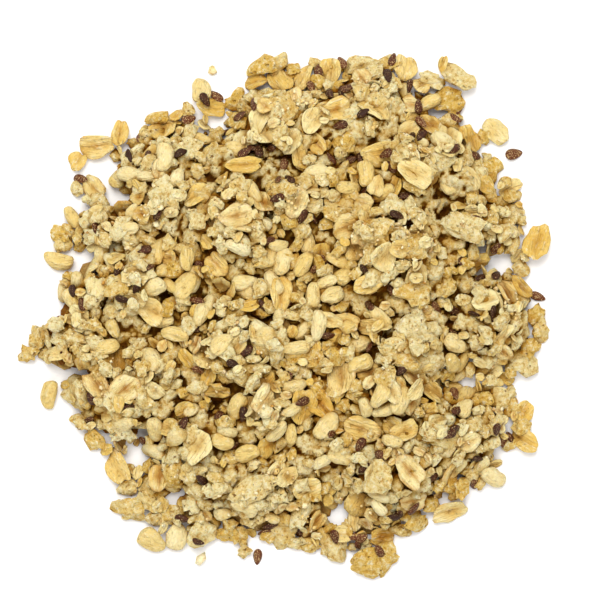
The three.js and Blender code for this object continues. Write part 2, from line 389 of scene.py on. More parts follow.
@dataclass(frozen=True)
class Grid:
    """A square grid of places over the table, in millimetres, row by row from -Y."""

    half: float = 80.0
    step: float = 0.4

    @property
    def count(self) -> int:
        """Places along one side."""
        return int(round(2 * self.half / self.step)) + 1

    @property
    def line(self) -> Array:
        """The X, and the Y, of the places along one side."""
        return np.linspace(-self.half, self.half, self.count)

    def zeros(self) -> Array:
        """A map that is 0 everywhere."""
        return np.zeros((self.count, self.count))

    def index(self, value: Array | list[float]) -> Array:
        """The nearest place along a side for each X or Y."""
        return np.clip(np.rint((np.asarray(value) + self.half) / self.step).astype(int), 0, self.count - 1)

    def read(self, heights: Array, x: Array | float, y: Array | float) -> Array:
        """Reads a map between its places.

        Args:
            heights: The map.
            x: Where to read it.
            y: Where to read it.

        Returns:
            The value there, by a straight blend of the four places around.
        """
        u, v = (np.clip((np.asarray(at) + self.half) / self.step, 0, self.count - 1.001) for at in (x, y))
        i, j = u.astype(int), v.astype(int)
        s, t = u - i, v - j
        near = heights[j, i] * (1 - s) + heights[j, i + 1] * s
        far = heights[j + 1, i] * (1 - s) + heights[j + 1, i + 1] * s
        return near * (1 - t) + far * t

    def blur(self, heights: Array, reach: float, times: int = 3) -> Array:
        """Averages a map over squares, several times over, which comes close to a round blur.

        Args:
            heights: The map.
            reach: Half the square's side.
            times: How often.

        Returns:
            The smooth map.
        """
        radius = max(1, int(round(reach / self.step)))
        width = 2 * radius + 1
        for axis in (0, 1) * times:
            padding = [(0, 0), (0, 0)]
            padding[axis] = (radius + 1, radius)
            sums = np.cumsum(np.pad(heights, padding, mode="edge"), axis=axis)
            high = np.take(sums, range(width, sums.shape[axis]), axis=axis)
            low = np.take(sums, range(0, sums.shape[axis] - width), axis=axis)
            heights = (high - low) / width
        return heights

    def rough(self, *layers: Range) -> Array:
        """Uneven ground: white noise, averaged over a reach and scaled to a height, layer on layer.

        Args:
            layers: The reach and the height of each layer.

        Returns:
            The map, 0 on average.
        """
        total = self.zeros()
        for reach, rise in layers:
            layer = self.blur(RNG.normal(size=total.shape), reach, 2)
            total += layer / layer.std() * rise
        return total

    def inset(self, covered: Array, reach: float) -> Array:
        """How far inside the edge of a region each place lies.

        Args:
            covered: True inside the region.
            reach: The depth at which it stops counting.

        Returns:
            The distance, counted by wearing the region down one place at a time, along the sides and
            along the diagonals in turn.
        """
        depth = np.zeros(covered.shape)
        left = covered.copy()
        for turn in range(int(reach / self.step)):
            depth += left * self.step
            out = np.pad(left, 1)
            left = out[1:-1, 1:-1] & out[:-2, 1:-1] & out[2:, 1:-1] & out[1:-1, :-2] & out[1:-1, 2:]
            if turn % 2:
                left &= out[:-2, :-2] & out[2:, 2:] & out[:-2, 2:] & out[2:, :-2]
        return depth


GRID = Grid()


@dataclass
class HeapForm:
    """What the frame's solid says of the heap: its height everywhere, and where its clusters stand."""

    samples: float = 60.0
    least_height: float = 0.8
    smoothing: float = 1.5
    inset_reach: float = 14.0
    cluster_reach: float = 9.0
    cluster_rise: float = 1.6
    cluster_edge: float = 1.0
    slope_reach: float = 2.0
    gap_edge: Range = (0.8, 0.35)
    height: Array = field(init=False)
    smooth: Array = field(init=False)
    covered: Array = field(init=False)
    inset: Array = field(init=False)
    cluster: Array = field(init=False)
    gap: Array = field(init=False)

    def survey(self, node: bpy.types.Object) -> None:
        """Reads the solid's upper surface.

        The highest of many random points, spread evenly over the solid's faces, gives each place its
        height, and a place that none hits takes its neighbours' mean. The spots where the table shows
        have none. A cluster is where the heap stands above its own wide average. The deep gaps are
        uneven rounds, from which noise takes or to which it adds up to half a millimetre.

        Args:
            node: The frame's solid.
        """
        mesh = node.data
        mesh.calc_loop_triangles()
        corner = np.empty(len(mesh.vertices) * 3, np.float32)
        mesh.vertices.foreach_get("co", corner)
        corner = corner.reshape(-1, 3) / METRES
        faces = np.empty(len(mesh.loop_triangles) * 3, np.int32)
        mesh.loop_triangles.foreach_get("vertices", faces)
        a, b, c = (corner[faces.reshape(-1, 3)[:, i]] for i in range(3))
        area = 0.5 * np.linalg.norm(np.cross(b - a, c - a), axis=1)
        which = np.repeat(np.arange(len(a)), np.ceil(area * self.samples).astype(int))
        r, s = np.sqrt(RNG.random((len(which), 1))), RNG.random((len(which), 1))
        points = (1 - r) * a[which] + r * (1 - s) * b[which] + r * s * c[which]
        height = GRID.zeros()
        np.maximum.at(height, (GRID.index(points[:, 1]), GRID.index(points[:, 0])), points[:, 2])
        hit = GRID.blur((height > 0).astype(float), GRID.step, 1)
        mean = GRID.blur(height, GRID.step, 1) / np.maximum(hit, 0.1)
        self.height = np.where((height == 0) & (hit > 0.7), mean, height)
        self.height[self.near(BARE_SPOTS)] = 0
        self.gap = self.near(DEEP_GAPS, GRID.rough(self.gap_edge))
        self.covered = self.height > self.least_height
        self.smooth = GRID.blur(self.height, self.smoothing)
        self.inset = GRID.inset(self.covered, self.inset_reach)
        share = (self.smooth - GRID.blur(self.height, self.cluster_reach)) / self.cluster_rise
        share = np.clip(share, 0, 1)
        self.cluster = GRID.blur(share * share * (3 - 2 * share), self.cluster_edge)

    def near(self, spots: list[Place], uneven: Array | float = 0.0) -> Array:
        """Marks round spots on the grid.

        Args:
            spots: The middle and radius of each.
            uneven: What is added to the radius at each place.

        Returns:
            True inside a spot.
        """
        inside = GRID.zeros().astype(bool)
        for x, y, radius in spots:
            inside |= np.hypot(GRID.line[None, :] - x, GRID.line[:, None] - y) < radius + uneven
        return inside

    def slope(self, x: float, y: float) -> tuple[float, float]:
        """How steeply the smooth form rises along X and along Y at a place, over a reach either way.

        Args:
            x: The place.
            y: The place.

        Returns:
            The two slopes.
        """
        e = self.slope_reach
        pairs = (((x + e, y), (x - e, y)), ((x, y + e), (x, y - e)))
        return tuple(
            (GRID.read(self.smooth, *high) - GRID.read(self.smooth, *low)) / (2 * e)
            for high, low in pairs
        )


@dataclass
class Ellipsoid:
    """The body that fits one piece: its middle, its half sizes and its rotation matrix."""

    x: float
    y: float
    half: Array
    turn: Array
    z: float = 0.0


class Shell:
    """The part of the grid under one ellipsoid, with its lower and upper side about its middle."""

    def __init__(self, piece: Ellipsoid) -> None:
        """Works out the two sides.

        With the ellipsoid's matrix M, the heights z at a place (dx, dy) solve the quadratic equation
        (dx, dy, z) M (dx, dy, z) = 1.

        Args:
            piece: The ellipsoid.
        """
        spread = piece.turn @ np.diag(piece.half**2) @ piece.turn.T
        reach_x, reach_y, rise = np.sqrt(np.diag(spread))
        i0, i1 = GRID.index([piece.x - reach_x, piece.x + reach_x])
        j0, j1 = GRID.index([piece.y - reach_y, piece.y + reach_y])
        dx = GRID.line[i0 : i1 + 1][None, :] - piece.x
        dy = GRID.line[j0 : j1 + 1][:, None] - piece.y
        m = piece.turn @ np.diag(piece.half**-2.0) @ piece.turn.T
        slope = m[0, 2] * dx + m[1, 2] * dy
        rest = m[0, 0] * dx * dx + 2 * m[0, 1] * dx * dy + m[1, 1] * dy * dy - 1
        square = slope * slope - m[2, 2] * rest
        root = np.sqrt(np.maximum(square, 0))
        self.patch = (slice(j0, j1 + 1), slice(i0, i1 + 1))
        self.inside = square > 0
        self.lower = (-slope - root) / m[2, 2]
        self.upper = (-slope + root) / m[2, 2]
        self.rise = float(rise)


# ---------------------------------------------------------------- meshes


@dataclass(frozen=True)
class Ball:
    """The grid of a closed ball: rings from one pole to the other, and a single point at each pole."""

    rings: int
    sides: int

    @property
    def points(self) -> int:
        """The number of points."""
        return self.rings * self.sides + 2

    @property
    def angles(self) -> tuple[Array, Array]:
        """Where the points are on the ball.

        Returns:
            The polar angle and the turn of each point, with the poles first and last.
        """
        polar = np.repeat(np.arange(1, self.rings + 1) * math.pi / (self.rings + 1), self.sides)
        turn = np.tile(np.arange(self.sides) * 2 * math.pi / self.sides, self.rings)
        return np.concatenate(([0.0], polar, [math.pi])), np.concatenate(([0.0], turn, [0.0]))

    def faces(self, count: int) -> tuple[Array, Array]:
        """The faces of many balls, facing outwards.

        Args:
            count: How many balls.

        Returns:
            The triangles at the poles and the quads between the rings.
        """
        here = np.arange(self.sides)
        after = (here + 1) % self.sides
        low = 1 + (self.rings - 1) * self.sides
        near = np.stack((0 * here, 1 + here, 1 + after), axis=1)
        far = np.stack((0 * here + self.points - 1, low + after, low + here), axis=1)
        starts = 1 + np.arange(self.rings - 1)[:, None] * self.sides
        ends = starts + self.sides
        quads = np.stack((starts + here, ends + here, ends + after, starts + after), axis=-1).reshape(-1, 4)
        first = (np.arange(count) * self.points)[:, None, None]
        triangles = np.concatenate((near, far))[None] + first
        return triangles.reshape(-1, 3), (quads[None] + first).reshape(-1, 4)


@dataclass
class Surface:
    """A mesh in the making: its points, its faces of 3 and 4 corners, and its attributes."""

    points: Array
    triangles: Array
    quads: Array
    values: dict[str, Array]

    def joined(self, other: "Surface") -> "Surface":
        """This surface and another as one.

        Args:
            other: The other.

        Returns:
            The whole.
        """
        shift = len(self.points)
        return Surface(
            np.concatenate((self.points, other.points)),
            np.concatenate((self.triangles, other.triangles + shift)),
            np.concatenate((self.quads, other.quads + shift)),
            {key: np.concatenate((value, other.values[key])) for key, value in self.values.items()},
        )

    def build(self, name: str, material: bpy.types.Material, slot: Slot, smooth: bool = True) -> None:
        """Makes the object, in metres, and lets it ride on the frame's body.

        Args:
            name: The piece's name.
            material: Its finish.
            slot: The record's material slot; not used.
            smooth: Whether its faces are shaded as one smooth surface.
        """
        mesh = bpy.data.meshes.new(name)
        corners = np.concatenate((self.triangles.ravel(), self.quads.ravel())).astype(np.int32)
        sizes = np.concatenate((np.full(len(self.triangles), 3), np.full(len(self.quads), 4)))
        starts = np.concatenate(([0], np.cumsum(sizes)[:-1])).astype(np.int32)
        mesh.vertices.add(len(self.points))
        mesh.vertices.foreach_set("co", (self.points * METRES).astype(np.float32).ravel())
        mesh.loops.add(len(corners))
        mesh.loops.foreach_set("vertex_index", corners)
        mesh.polygons.add(len(sizes))
        mesh.polygons.foreach_set("loop_start", starts)
        mesh.polygons.foreach_set("use_smooth", np.full(len(sizes), smooth))
        for key, value in self.values.items():
            kind, part = ("FLOAT_VECTOR", "vector") if value.ndim == 2 else ("FLOAT", "value")
            made = mesh.attributes.new(key, kind, "POINT")
            made.data.foreach_set(part, value.astype(np.float32).ravel())
        mesh.update(calc_edges=True)
        if mesh.validate():
            log.warning("%s had faces that were mended", name)
        mesh.materials.append(material)
        piece = bpy.data.objects.new(name, mesh)
        bpy.context.scene.collection.objects.link(piece)
        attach(piece, BODY)
        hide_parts(HEAP_NODE)
        triangles = len(self.triangles) + 2 * len(self.quads)
        log.info("%s: %d points, %d triangles", name, len(self.points), triangles)


def rotations(yaw: Array, lean: Array) -> Array:
    """Turns that lay pieces on slopes.

    Args:
        yaw: Each piece's own turn about its upright axis.
        lean: The direction, of length 1, that its upright axis ends up in.

    Returns:
        A 3 by 3 matrix for each piece: the yaw first, then the shortest turn from +Z to the lean.
    """
    c, s = np.cos(yaw), np.sin(yaw)
    zero, one = np.zeros_like(c), np.ones_like(c)
    turn = np.stack((c, -s, zero, s, c, zero, zero, zero, one), axis=-1).reshape(-1, 3, 3)
    x, y, z = lean.T
    k = 1 / (1 + np.maximum(z, -0.999))
    tilt = (1 - k * x * x, -k * x * y, x, -k * x * y, 1 - k * y * y, y, -x, -y, 1 - k * (x * x + y * y))
    return np.stack(tilt, axis=-1).reshape(-1, 3, 3) @ turn


def lying(lean: Array, yaw: float) -> Array:
    """The rotation of one piece whose upright axis ends up along the lean, after a yaw."""
    return rotations(np.array([yaw]), lean[None] / np.linalg.norm(lean))[0]


def random_turn(spread: float) -> Array:
    """A rotation with any yaw and a lean of about the spread given."""
    return lying(np.array((*RNG.normal(0, spread, 2), 1.0)), RNG.uniform(0, FULL_TURN))


def unit_ball(polar: Array, turn: Array) -> Array:
    """Points of the unit ball, whose poles are on X."""
    return np.stack((np.cos(polar), np.sin(polar) * np.cos(turn), np.sin(polar) * np.sin(turn)), axis=-1)


def put(local: Array, turns: Array, middles: Array) -> tuple[Array, Array]:
    """Turns and moves many pieces.

    Args:
        local: N by K points about each piece's own middle.
        turns: The pieces' rotations.
        middles: Their middles.

    Returns:
        The points, none of them below the table, and the grain at each: its place in its own piece,
        shifted by a random distance for each piece.
    """
    points = np.einsum("nij,nkj->nki", turns, local) + middles[:, None, :]
    points[:, :, 2] = np.maximum(points[:, :, 2], LOWEST)
    grain = local + RNG.uniform(-GRAIN_SHIFT, GRAIN_SHIFT, (len(local), 1, 3))
    return points.reshape(-1, 3), grain.reshape(-1, 3)


@dataclass
class Draws:
    """Random numbers for a number of pieces, a row for each piece."""

    count: int

    def __call__(self, low: float, high: float) -> Array:
        """One number for each piece."""
        return RNG.uniform(low, high, (self.count, 1))

    def directions(self) -> Array:
        """One direction of length 1 for each piece."""
        drawn = RNG.normal(size=(self.count, 3))
        return drawn / np.linalg.norm(drawn, axis=1, keepdims=True)

    def waves(self, ball: Array, *pitches: float) -> Array:
        """Smooth random swellings of balls.

        Args:
            ball: K points of the unit ball.
            pitches: How fast each wave turns with the distance along its direction.

        Returns:
            N by K values about 0: the mean of one sine for each pitch, along a direction of its own.
        """
        total = np.zeros((self.count, len(ball)))
        for pitch in pitches:
            total += np.sin(pitch * (self.directions() @ ball.T) + self(0, FULL_TURN))
        return total / len(pitches)

    def chipped(self, ball: Array, cuts: int) -> Array:
        """The radii of balls with flat facets.

        Args:
            ball: K points of the unit ball.
            cuts: How many planes cut each ball.

        Returns:
            N by K radii: 1, or less where a plane at a random distance cuts the ball off.
        """
        radius = np.ones((self.count, len(ball)))
        for _ in range(cuts):
            facing = np.maximum(self.directions() @ ball.T, 0.05)
            radius = np.minimum(radius, self(0.55, 1.0) / facing)
        return radius


# ---------------------------------------------------------------- settling


@dataclass
class Bed:
    """The surface that pieces settle on, and the form that they fill up to."""

    form: HeapForm
    top: Array
    fewest: int = 4
    crowded: float = 0.75
    overhang: float = 0.35
    over_gap: float = 0.12
    valley: float = 0.6
    lit: float = 0.6
    dark: float = 3.0
    around: float = 1.5
    covered: float = 0.4
    tucked_away: float = 2.0
    low: float = 3.0

    def lay(self, piece: Ellipsoid, sink: float, proud: float | None) -> bool:
        """Lets one piece come to rest.

        Its lower side may dip into what lies there over a share of its area. Nothing goes below the
        table. A piece that would stand too proud of the heap's form, too far over its edge or too much
        over a deep gap isn't laid, and the form counts as a little lower between the clusters.

        Args:
            piece: The piece, which is given its height.
            sink: The share of its area that may dip in.
            proud: How far its upper side may stand above the form, or None for a piece laid anyway.

        Returns:
            Whether it lies there.
        """
        shell = Shell(piece)
        inside, patch = shell.inside, shell.patch
        if inside.sum() < self.fewest:
            return False
        height = max(np.quantile((self.top[patch] - shell.lower)[inside], 1 - sink), shell.rise)
        limit = self.form.height[patch] - self.valley * (1 - self.form.cluster[patch])
        excess = height + shell.upper - limit
        beyond = 1 - self.form.covered[patch][inside].mean()
        over = self.form.gap[patch][inside].mean()
        if proud is not None and (
            np.quantile(excess[inside], self.crowded) > proud
            or beyond > self.overhang
            or over > self.over_gap
        ):
            return False
        self.raise_to(shell, piece, height)
        return True

    def nest(self, piece: Ellipsoid, proud: float) -> bool:
        """Puts one piece among the others, with its top as far above the form as told.

        Args:
            piece: The piece, which is given its height.
            proud: How far its upper side stands above the form.

        Returns:
            True, because it always finds room.
        """
        shell = Shell(piece)
        around = float(GRID.read(self.form.smooth, piece.x, piece.y))
        self.raise_to(shell, piece, max(around + proud - shell.rise, shell.rise))
        return True

    def raise_to(self, shell: Shell, piece: Ellipsoid, height: float) -> None:
        """Raises the surface to a piece's upper side.

        Args:
            shell: The piece's two sides.
            piece: The piece, which is given its height.
            height: The height of its middle.
        """
        part = self.top[shell.patch]
        self.top[shell.patch] = np.where(shell.inside, np.maximum(part, height + shell.upper), part)
        piece.z = float(height)

    def clustered(self, points: Array) -> Array:
        """How far into a cluster points lie, from 0 to 1."""
        return GRID.read(self.form.cluster, points[:, 0], points[:, 1])

    def depth(self, points: Array) -> Array:
        """How deep in crevices points lie, as the share of painted shade: 0 at 0.6 mm above the average
        surface, 1 at 3 mm below it.
        """
        around = GRID.read(GRID.blur(self.top, self.around, 2), points[:, 0], points[:, 1])
        return np.clip((around + self.lit - points[:, 2]) / (self.lit + self.dark), 0, 1)

    def tucked(self, points: Array) -> Array:
        """How far points lie under the pieces over them, as a share of painted shade.

        Args:
            points: The points.

        Returns:
            0 down to 0.4 mm under the top, rising to 1 at 2 mm, and less where the heap is low.
        """
        top = GRID.read(self.top, points[:, 0], points[:, 1])
        under = (top - points[:, 2] - self.covered) / (self.tucked_away - self.covered)
        return np.clip(under, 0, 1) * np.clip(top / self.low - 1, 0, 1)


@dataclass(frozen=True)
class Placing:
    """Where one chosen piece lies: its middle, length and width in millimetres, and its turn in degrees."""

    x: float
    y: float
    length: float
    width: float
    turn: float


def placed(*rows: tuple[float, float, float, float, float]) -> list[Placing]:
    """Reads rows of a piece's middle, length, width and turn."""
    return [Placing(*row) for row in rows]


@dataclass
class Kind:
    """One kind of piece: its sizes, how it lies, and how it is dressed."""

    name: str
    slot: Slot
    finish: BakedFinish | SeedFinish
    length: Range
    width: Range
    thickness: Range
    ball: Ball
    fine_ball: Ball
    likes_clusters: float = 0.0
    sink: float = 0.2
    proud: float = 0.8
    lean: float = 0.35
    on_edge: float = 0.08
    edge_lean: float = 1.4
    slope_share: float = 0.8
    steadiness: float = 0.6
    smallness: float = 1.3
    variety: Range = (0.92, 1.08)
    baked_sink: float = 0.9
    baked_proud: float = 2.0
    shown_sink: float = 0.5
    faceted: bool = False
    poured: list[Ellipsoid] = field(default_factory=list)
    shown: list[Ellipsoid] = field(default_factory=list)

    def sizes(self) -> Array:
        """Draws one piece's half length, width and thickness, the smaller ones more often.

        Returns:
            The three half sizes.
        """
        limits = np.array((self.length, self.width, self.thickness))
        share = RNG.random() ** self.smallness
        return 0.5 * (limits[:, 0] + (limits[:, 1] - limits[:, 0]) * share) * RNG.uniform(*self.variety, 3)

    def turn_at(self, form: HeapForm, x: float, y: float, yaw: float | None = None) -> Array:
        """The way a piece lies on the slope at a place.

        Args:
            form: The heap's form.
            x: The place.
            y: The place.
            yaw: The piece's turn, where it is chosen.

        Returns:
            Its rotation: square to the slope and a little off it, or now and then stood on edge.
        """
        along, across = form.slope(x, y)
        steep = self.edge_lean if yaw is None and RNG.random() < self.on_edge else self.lean
        lean = np.array((-along * self.slope_share, -across * self.slope_share, 1.0))
        lean[:2] += RNG.normal(0, steep if yaw is None else steep * self.steadiness, 2)
        return lying(lean, RNG.uniform(0, FULL_TURN) if yaw is None else yaw)

    def pour(self, bed: Bed, count: int, baked_in: bool = False, tries: int = 14) -> None:
        """Settles pieces one by one, each at the emptiest of a few random places.

        Args:
            bed: What they fall on.
            count: How many are poured.
            baked_in: Whether they are sunk deep into the clusters instead.
            tries: How many places are compared.
        """
        form = bed.form
        rows, columns = np.nonzero(form.covered & (form.cluster > 0.5) if baked_in else form.covered)
        sink, proud = (self.baked_sink, self.baked_proud) if baked_in else (self.sink, self.proud)
        for _ in range(count):
            pick = RNG.integers(0, len(rows), tries)
            j, i = rows[pick], columns[pick]
            wish = form.height[j, i] - bed.top[j, i] + self.likes_clusters * form.cluster[j, i]
            best = pick[np.argmax(wish)]
            x, y = GRID.line[columns[best]], GRID.line[rows[best]]
            half = self.sizes()
            piece = Ellipsoid(x, y, half, self.turn_at(form, x, y))
            if bed.lay(piece, sink, proud):
                self.poured.append(piece)

    def set_down(self, bed: Bed, placings: list[Placing], nested: float | None = None) -> None:
        """Lays chosen pieces where the picture shows them, on top of the rest or nested in it.

        Args:
            bed: What they lie on.
            placings: Their places.
            nested: How far the nested ones stand above the form.
        """
        for p in placings:
            half = 0.5 * np.array((p.length, p.width, sum(self.thickness) / 2))
            piece = Ellipsoid(p.x, p.y, half, self.turn_at(bed.form, p.x, p.y, math.radians(p.turn)))
            if bed.lay(piece, self.shown_sink, None) if nested is None else bed.nest(piece, nested):
                self.shown.append(piece)

    def shape(self, polar: Array, turn: Array, draw: Draws) -> tuple[Array, Array]:
        """The kind's own shape, for all its pieces at once; each kind gives its own."""
        raise NotImplementedError

    def surface(self, laid: list[Ellipsoid], ball: Ball, bed: Bed) -> Surface:
        """Shapes pieces and puts them where they lie.

        Args:
            laid: The pieces.
            ball: The grid of each.
            bed: The finished bed, which says how deep each point lies, for the painted shade.

        Returns:
            Their joined surface.
        """
        local, toast_and_shade = self.shape(*ball.angles, Draws(len(laid)))
        local = local * np.array([piece.half for piece in laid]).reshape(-1, 1, 3)
        turns = np.array([piece.turn for piece in laid]).reshape(-1, 3, 3)
        middles = np.array([(piece.x, piece.y, piece.z) for piece in laid]).reshape(-1, 3)
        points, grain = put(local, turns, middles)
        # The tone is random, and more golden between the clusters: partly the pieces' own colour, partly
        # painted shade where they lie lower.
        tone = 0.7 * RNG.random(len(laid)) + 0.35 * (1 - bed.clustered(middles))
        values = {
            "grain": grain,
            "tone": np.repeat(tone, ball.points),
            "toast_and_shade": toast_and_shade.ravel(),
            # Painted shade: the greater of how deep a point lies in a crevice and how far it lies under the
            # pieces over it.
            "painted_shade": np.maximum(bed.depth(points), 0.8 * bed.tucked(points)),
        }
        return Surface(points, *ball.faces(len(laid)), values)

    def build(self, bed: Bed) -> None:
        """Joins all the laid pieces in one mesh.

        Args:
            bed: The finished bed.
        """
        whole = self.surface(self.poured, self.ball, bed)
        whole = whole.joined(self.surface(self.shown, self.fine_ball, bed))
        log.info("%s: %d poured, %d set down", self.name, len(self.poured), len(self.shown))
        whole.build(self.name, self.finish.make(), self.slot, not self.faceted)


@dataclass
class Lumps(Kind):
    """Oat lumps: uneven, faceted pieces of oat baked together."""

    def shape(self, polar: Array, turn: Array, draw: Draws) -> tuple[Array, Array]:
        """Balls with flat facets, swollen and dented by three waves, and by finer ones on top.

        Args:
            polar: The polar angle of each point.
            turn: Its turn.
            draw: The random draws.

        Returns:
            The points, and how toasted each is: most on the outermost swellings.
        """
        ball = unit_ball(polar, turn)
        swell = 1 + 0.32 * draw.waves(ball, 2.0, 3.1, 4.3) + 0.26 * draw.waves(ball, 6.5, 8.5)
        swell *= draw.chipped(ball, 9) * 1.16
        toast_and_shade = np.clip(0.25 + 0.8 * (swell - 0.95), 0, 1) * RNG.random((draw.count, 1)) ** 0.7
        return ball[None] * swell[:, :, None], toast_and_shade


@dataclass
class Flakes(Kind):
    """Rolled oat flakes: thin, curled ovals with a groove along the middle and a ragged edge."""

    body: float = 0.32

    def shape(self, polar: Array, turn: Array, draw: Draws) -> tuple[Array, Array]:
        """Flat ovals between two faces that follow one curled, grooved sheet.

        The radius is the sine of the polar angle to a small power, so that the faces are broad and the
        edge is round and thin. It is less by a notch at one end, and by four ripples around the edge.
        The sheet rises with the square of both coordinates, twists with their product, ripples both
        ways, and dips in a narrow groove along the middle that fades towards the ends. It is scaled to
        fill the flake's thickness.

        Args:
            polar: The polar angle of each point.
            turn: Its turn.
            draw: The random draws.

        Returns:
            The points, and how toasted each is: most along the edge and in the groove.
        """
        ragged = 1 - draw(-0.1, 0.3) * np.exp(-((np.minimum(turn, FULL_TURN - turn) / 0.35) ** 2))
        for times, most in ((2, 0.12), (3, 0.1), (5, 0.05), (7, 0.05)):
            ragged = ragged + draw(0, most) * np.sin(times * turn + draw(0, 6.3))
        radius = np.sin(polar) ** 0.55 * ragged
        x, y = radius * np.cos(turn), radius * np.sin(turn)
        groove = np.exp(-((y / draw(0.1, 0.22)) ** 2)) * np.clip(1 - x * x, 0, 1)
        sheet = draw(-0.6, 1.2) * x * x + draw(-0.5, 1.5) * y * y + draw(-0.9, 0.9) * x * y
        sheet += draw(-0.4, 0.4) * np.sin(3 * x + draw(0, 6.3)) - draw(0.0, 0.9) * groove
        sheet += draw(-0.4, 0.4) * np.sin(5 * y + 2 * x + draw(0, 6.3))
        sheet -= sheet.mean(axis=1, keepdims=True)
        sheet /= np.abs(sheet).max(axis=1, keepdims=True)
        z = np.cos(polar) * self.body + sheet * (1 - self.body)
        toast_and_shade = np.clip(0.15 + 0.6 * radius**4 + 0.8 * groove, 0, 1) * draw(0.1, 1.0)
        return np.stack((x, y, z), axis=-1), toast_and_shade


@dataclass
class Puffs(Kind):
    """Crisp puffs: plump grains, longer than wide, a little bent, dented and fuller at one end."""

    def shape(self, polar: Array, turn: Array, draw: Draws) -> tuple[Array, Array]:
        """Long balls with blunt ends, tapered, dented by waves, and bent along their length.

        Three faint ridges run along each and turn a little on the way, and a crease on one side.

        Args:
            polar: The polar angle of each point.
            turn: Its turn.
            draw: The random draws.

        Returns:
            The points, and how toasted each is: most at the two tips.
        """
        ball, x = unit_ball(polar, turn), np.cos(polar)
        dents = 1 + 0.16 * draw.waves(ball, 2.2, 3.6) + 0.12 * draw.waves(ball, 5.5, 7.0)
        ring = np.sin(polar) ** 0.75 * (1 + draw(-0.3, 0.3) * x) * dents
        ring = ring * (1 + draw(0.0, 0.07) * np.sin(3 * turn + 2 * x + draw(0, 6.3)))
        ring = ring * (1 - draw(0.0, 0.25) * np.exp(-(((turn - draw(0.6, 2.4)) / 0.4) ** 2)))
        y = ring * np.cos(turn) + draw(-0.3, 0.3) * (0.6 - x * x)
        z = ring * np.sin(turn) + draw(-0.2, 0.2) * x * x
        x = x + 0 * ring
        toast_and_shade = np.clip(0.1 + 0.8 * np.abs(x) ** 5, 0, 1) * draw(0.1, 1.0)
        return np.stack((x, y, z), axis=-1), toast_and_shade


@dataclass
class Linseeds(Kind):
    """Linseeds: flat, smooth drops with one pointed end."""

    def shape(self, polar: Array, turn: Array, draw: Draws) -> tuple[Array, Array]:
        """Flat balls whose rings shrink towards the pointed end.

        Args:
            polar: The polar angle of each point.
            turn: Its turn.
            draw: The random draws.

        Returns:
            The points, and no toasting.
        """
        x, count = np.cos(polar), draw.count
        ring = np.sin(polar) * (1 - 0.3 * x)
        drop = np.stack((x, ring * np.cos(turn), ring * np.sin(turn)), axis=-1)
        return drop[None] * RNG.uniform(0.94, 1.06, (count, 1, 3)), np.zeros((count, len(polar)))


@dataclass
class Crumbs:
    """Loose oat crumbs that dust the heap, most of them on its clusters, and the few on the table."""

    count: int = 1800
    radius: Range = (0.3, 0.85)
    rim: float = 1.5
    off_clusters: float = 0.1
    strewn: float = 0.2
    table: float = 0.3
    lean: float = 0.6
    ball: Ball = Ball(2, 5)

    def build(self, bed: Bed, smooth: list[Ellipsoid], strays: list[Placing]) -> None:
        """Scatters the crumbs over the finished bed: balls swollen by two waves, each lying askew.

        Args:
            bed: What they lie on.
            smooth: The pieces that no crumb sticks to, within half their length.
            strays: The crumbs on the table.
        """
        chance = ((bed.form.inset > self.rim) * (self.off_clusters + bed.form.cluster)).ravel()
        spot = RNG.choice(chance.size, self.count, p=chance / chance.sum())
        x = GRID.line[spot % GRID.count] + RNG.uniform(-self.strewn, self.strewn, self.count)
        y = GRID.line[spot // GRID.count] + RNG.uniform(-self.strewn, self.strewn, self.count)
        under = np.array([(piece.x, piece.y, piece.half[0]) for piece in smooth])
        free = (np.hypot(x[:, None] - under[:, 0], y[:, None] - under[:, 1]) > under[:, 2]).all(axis=1)
        size = self.radius[0] + (self.radius[1] - self.radius[0]) * RNG.random(free.sum()) ** 3
        x = np.concatenate((x[free], [stray.x for stray in strays]))
        y = np.concatenate((y[free], [stray.y for stray in strays]))
        size = np.concatenate((size, [stray.length / 2 for stray in strays]))
        z = GRID.read(bed.top, x, y)
        z = np.where(z < self.table, size * 0.6, z - size * 0.4)
        count = len(x)
        draw = Draws(count)
        ball = unit_ball(*self.ball.angles)
        local = ball[None] * (1 + 0.5 * draw.waves(ball, 2.5, 4.5))[:, :, None]
        local = local * size[:, None, None] * RNG.uniform(0.55, 1.25, (count, 1, 3))
        lean = np.concatenate((RNG.normal(0, self.lean, (count, 2)), np.ones((count, 1))), axis=1)
        lean /= np.linalg.norm(lean, axis=1, keepdims=True)
        turns = rotations(RNG.uniform(0, 6.3, count), lean)
        points, grain = put(local, turns, np.stack((x, y, z), axis=1))
        values = {
            "grain": grain,
            "tone": np.repeat(RNG.random(count), self.ball.points),
            "toast_and_shade": np.repeat(RNG.random(count) ** 3, self.ball.points),
            # Painted shade, by how deep each point lies in a crevice.
            "painted_shade": bed.depth(points),
        }
        surface = Surface(points, *self.ball.faces(count), values)
        surface.build("oat_crumbs", CRUMB_FINISH.make(), Slot.OAT_CRUMB)


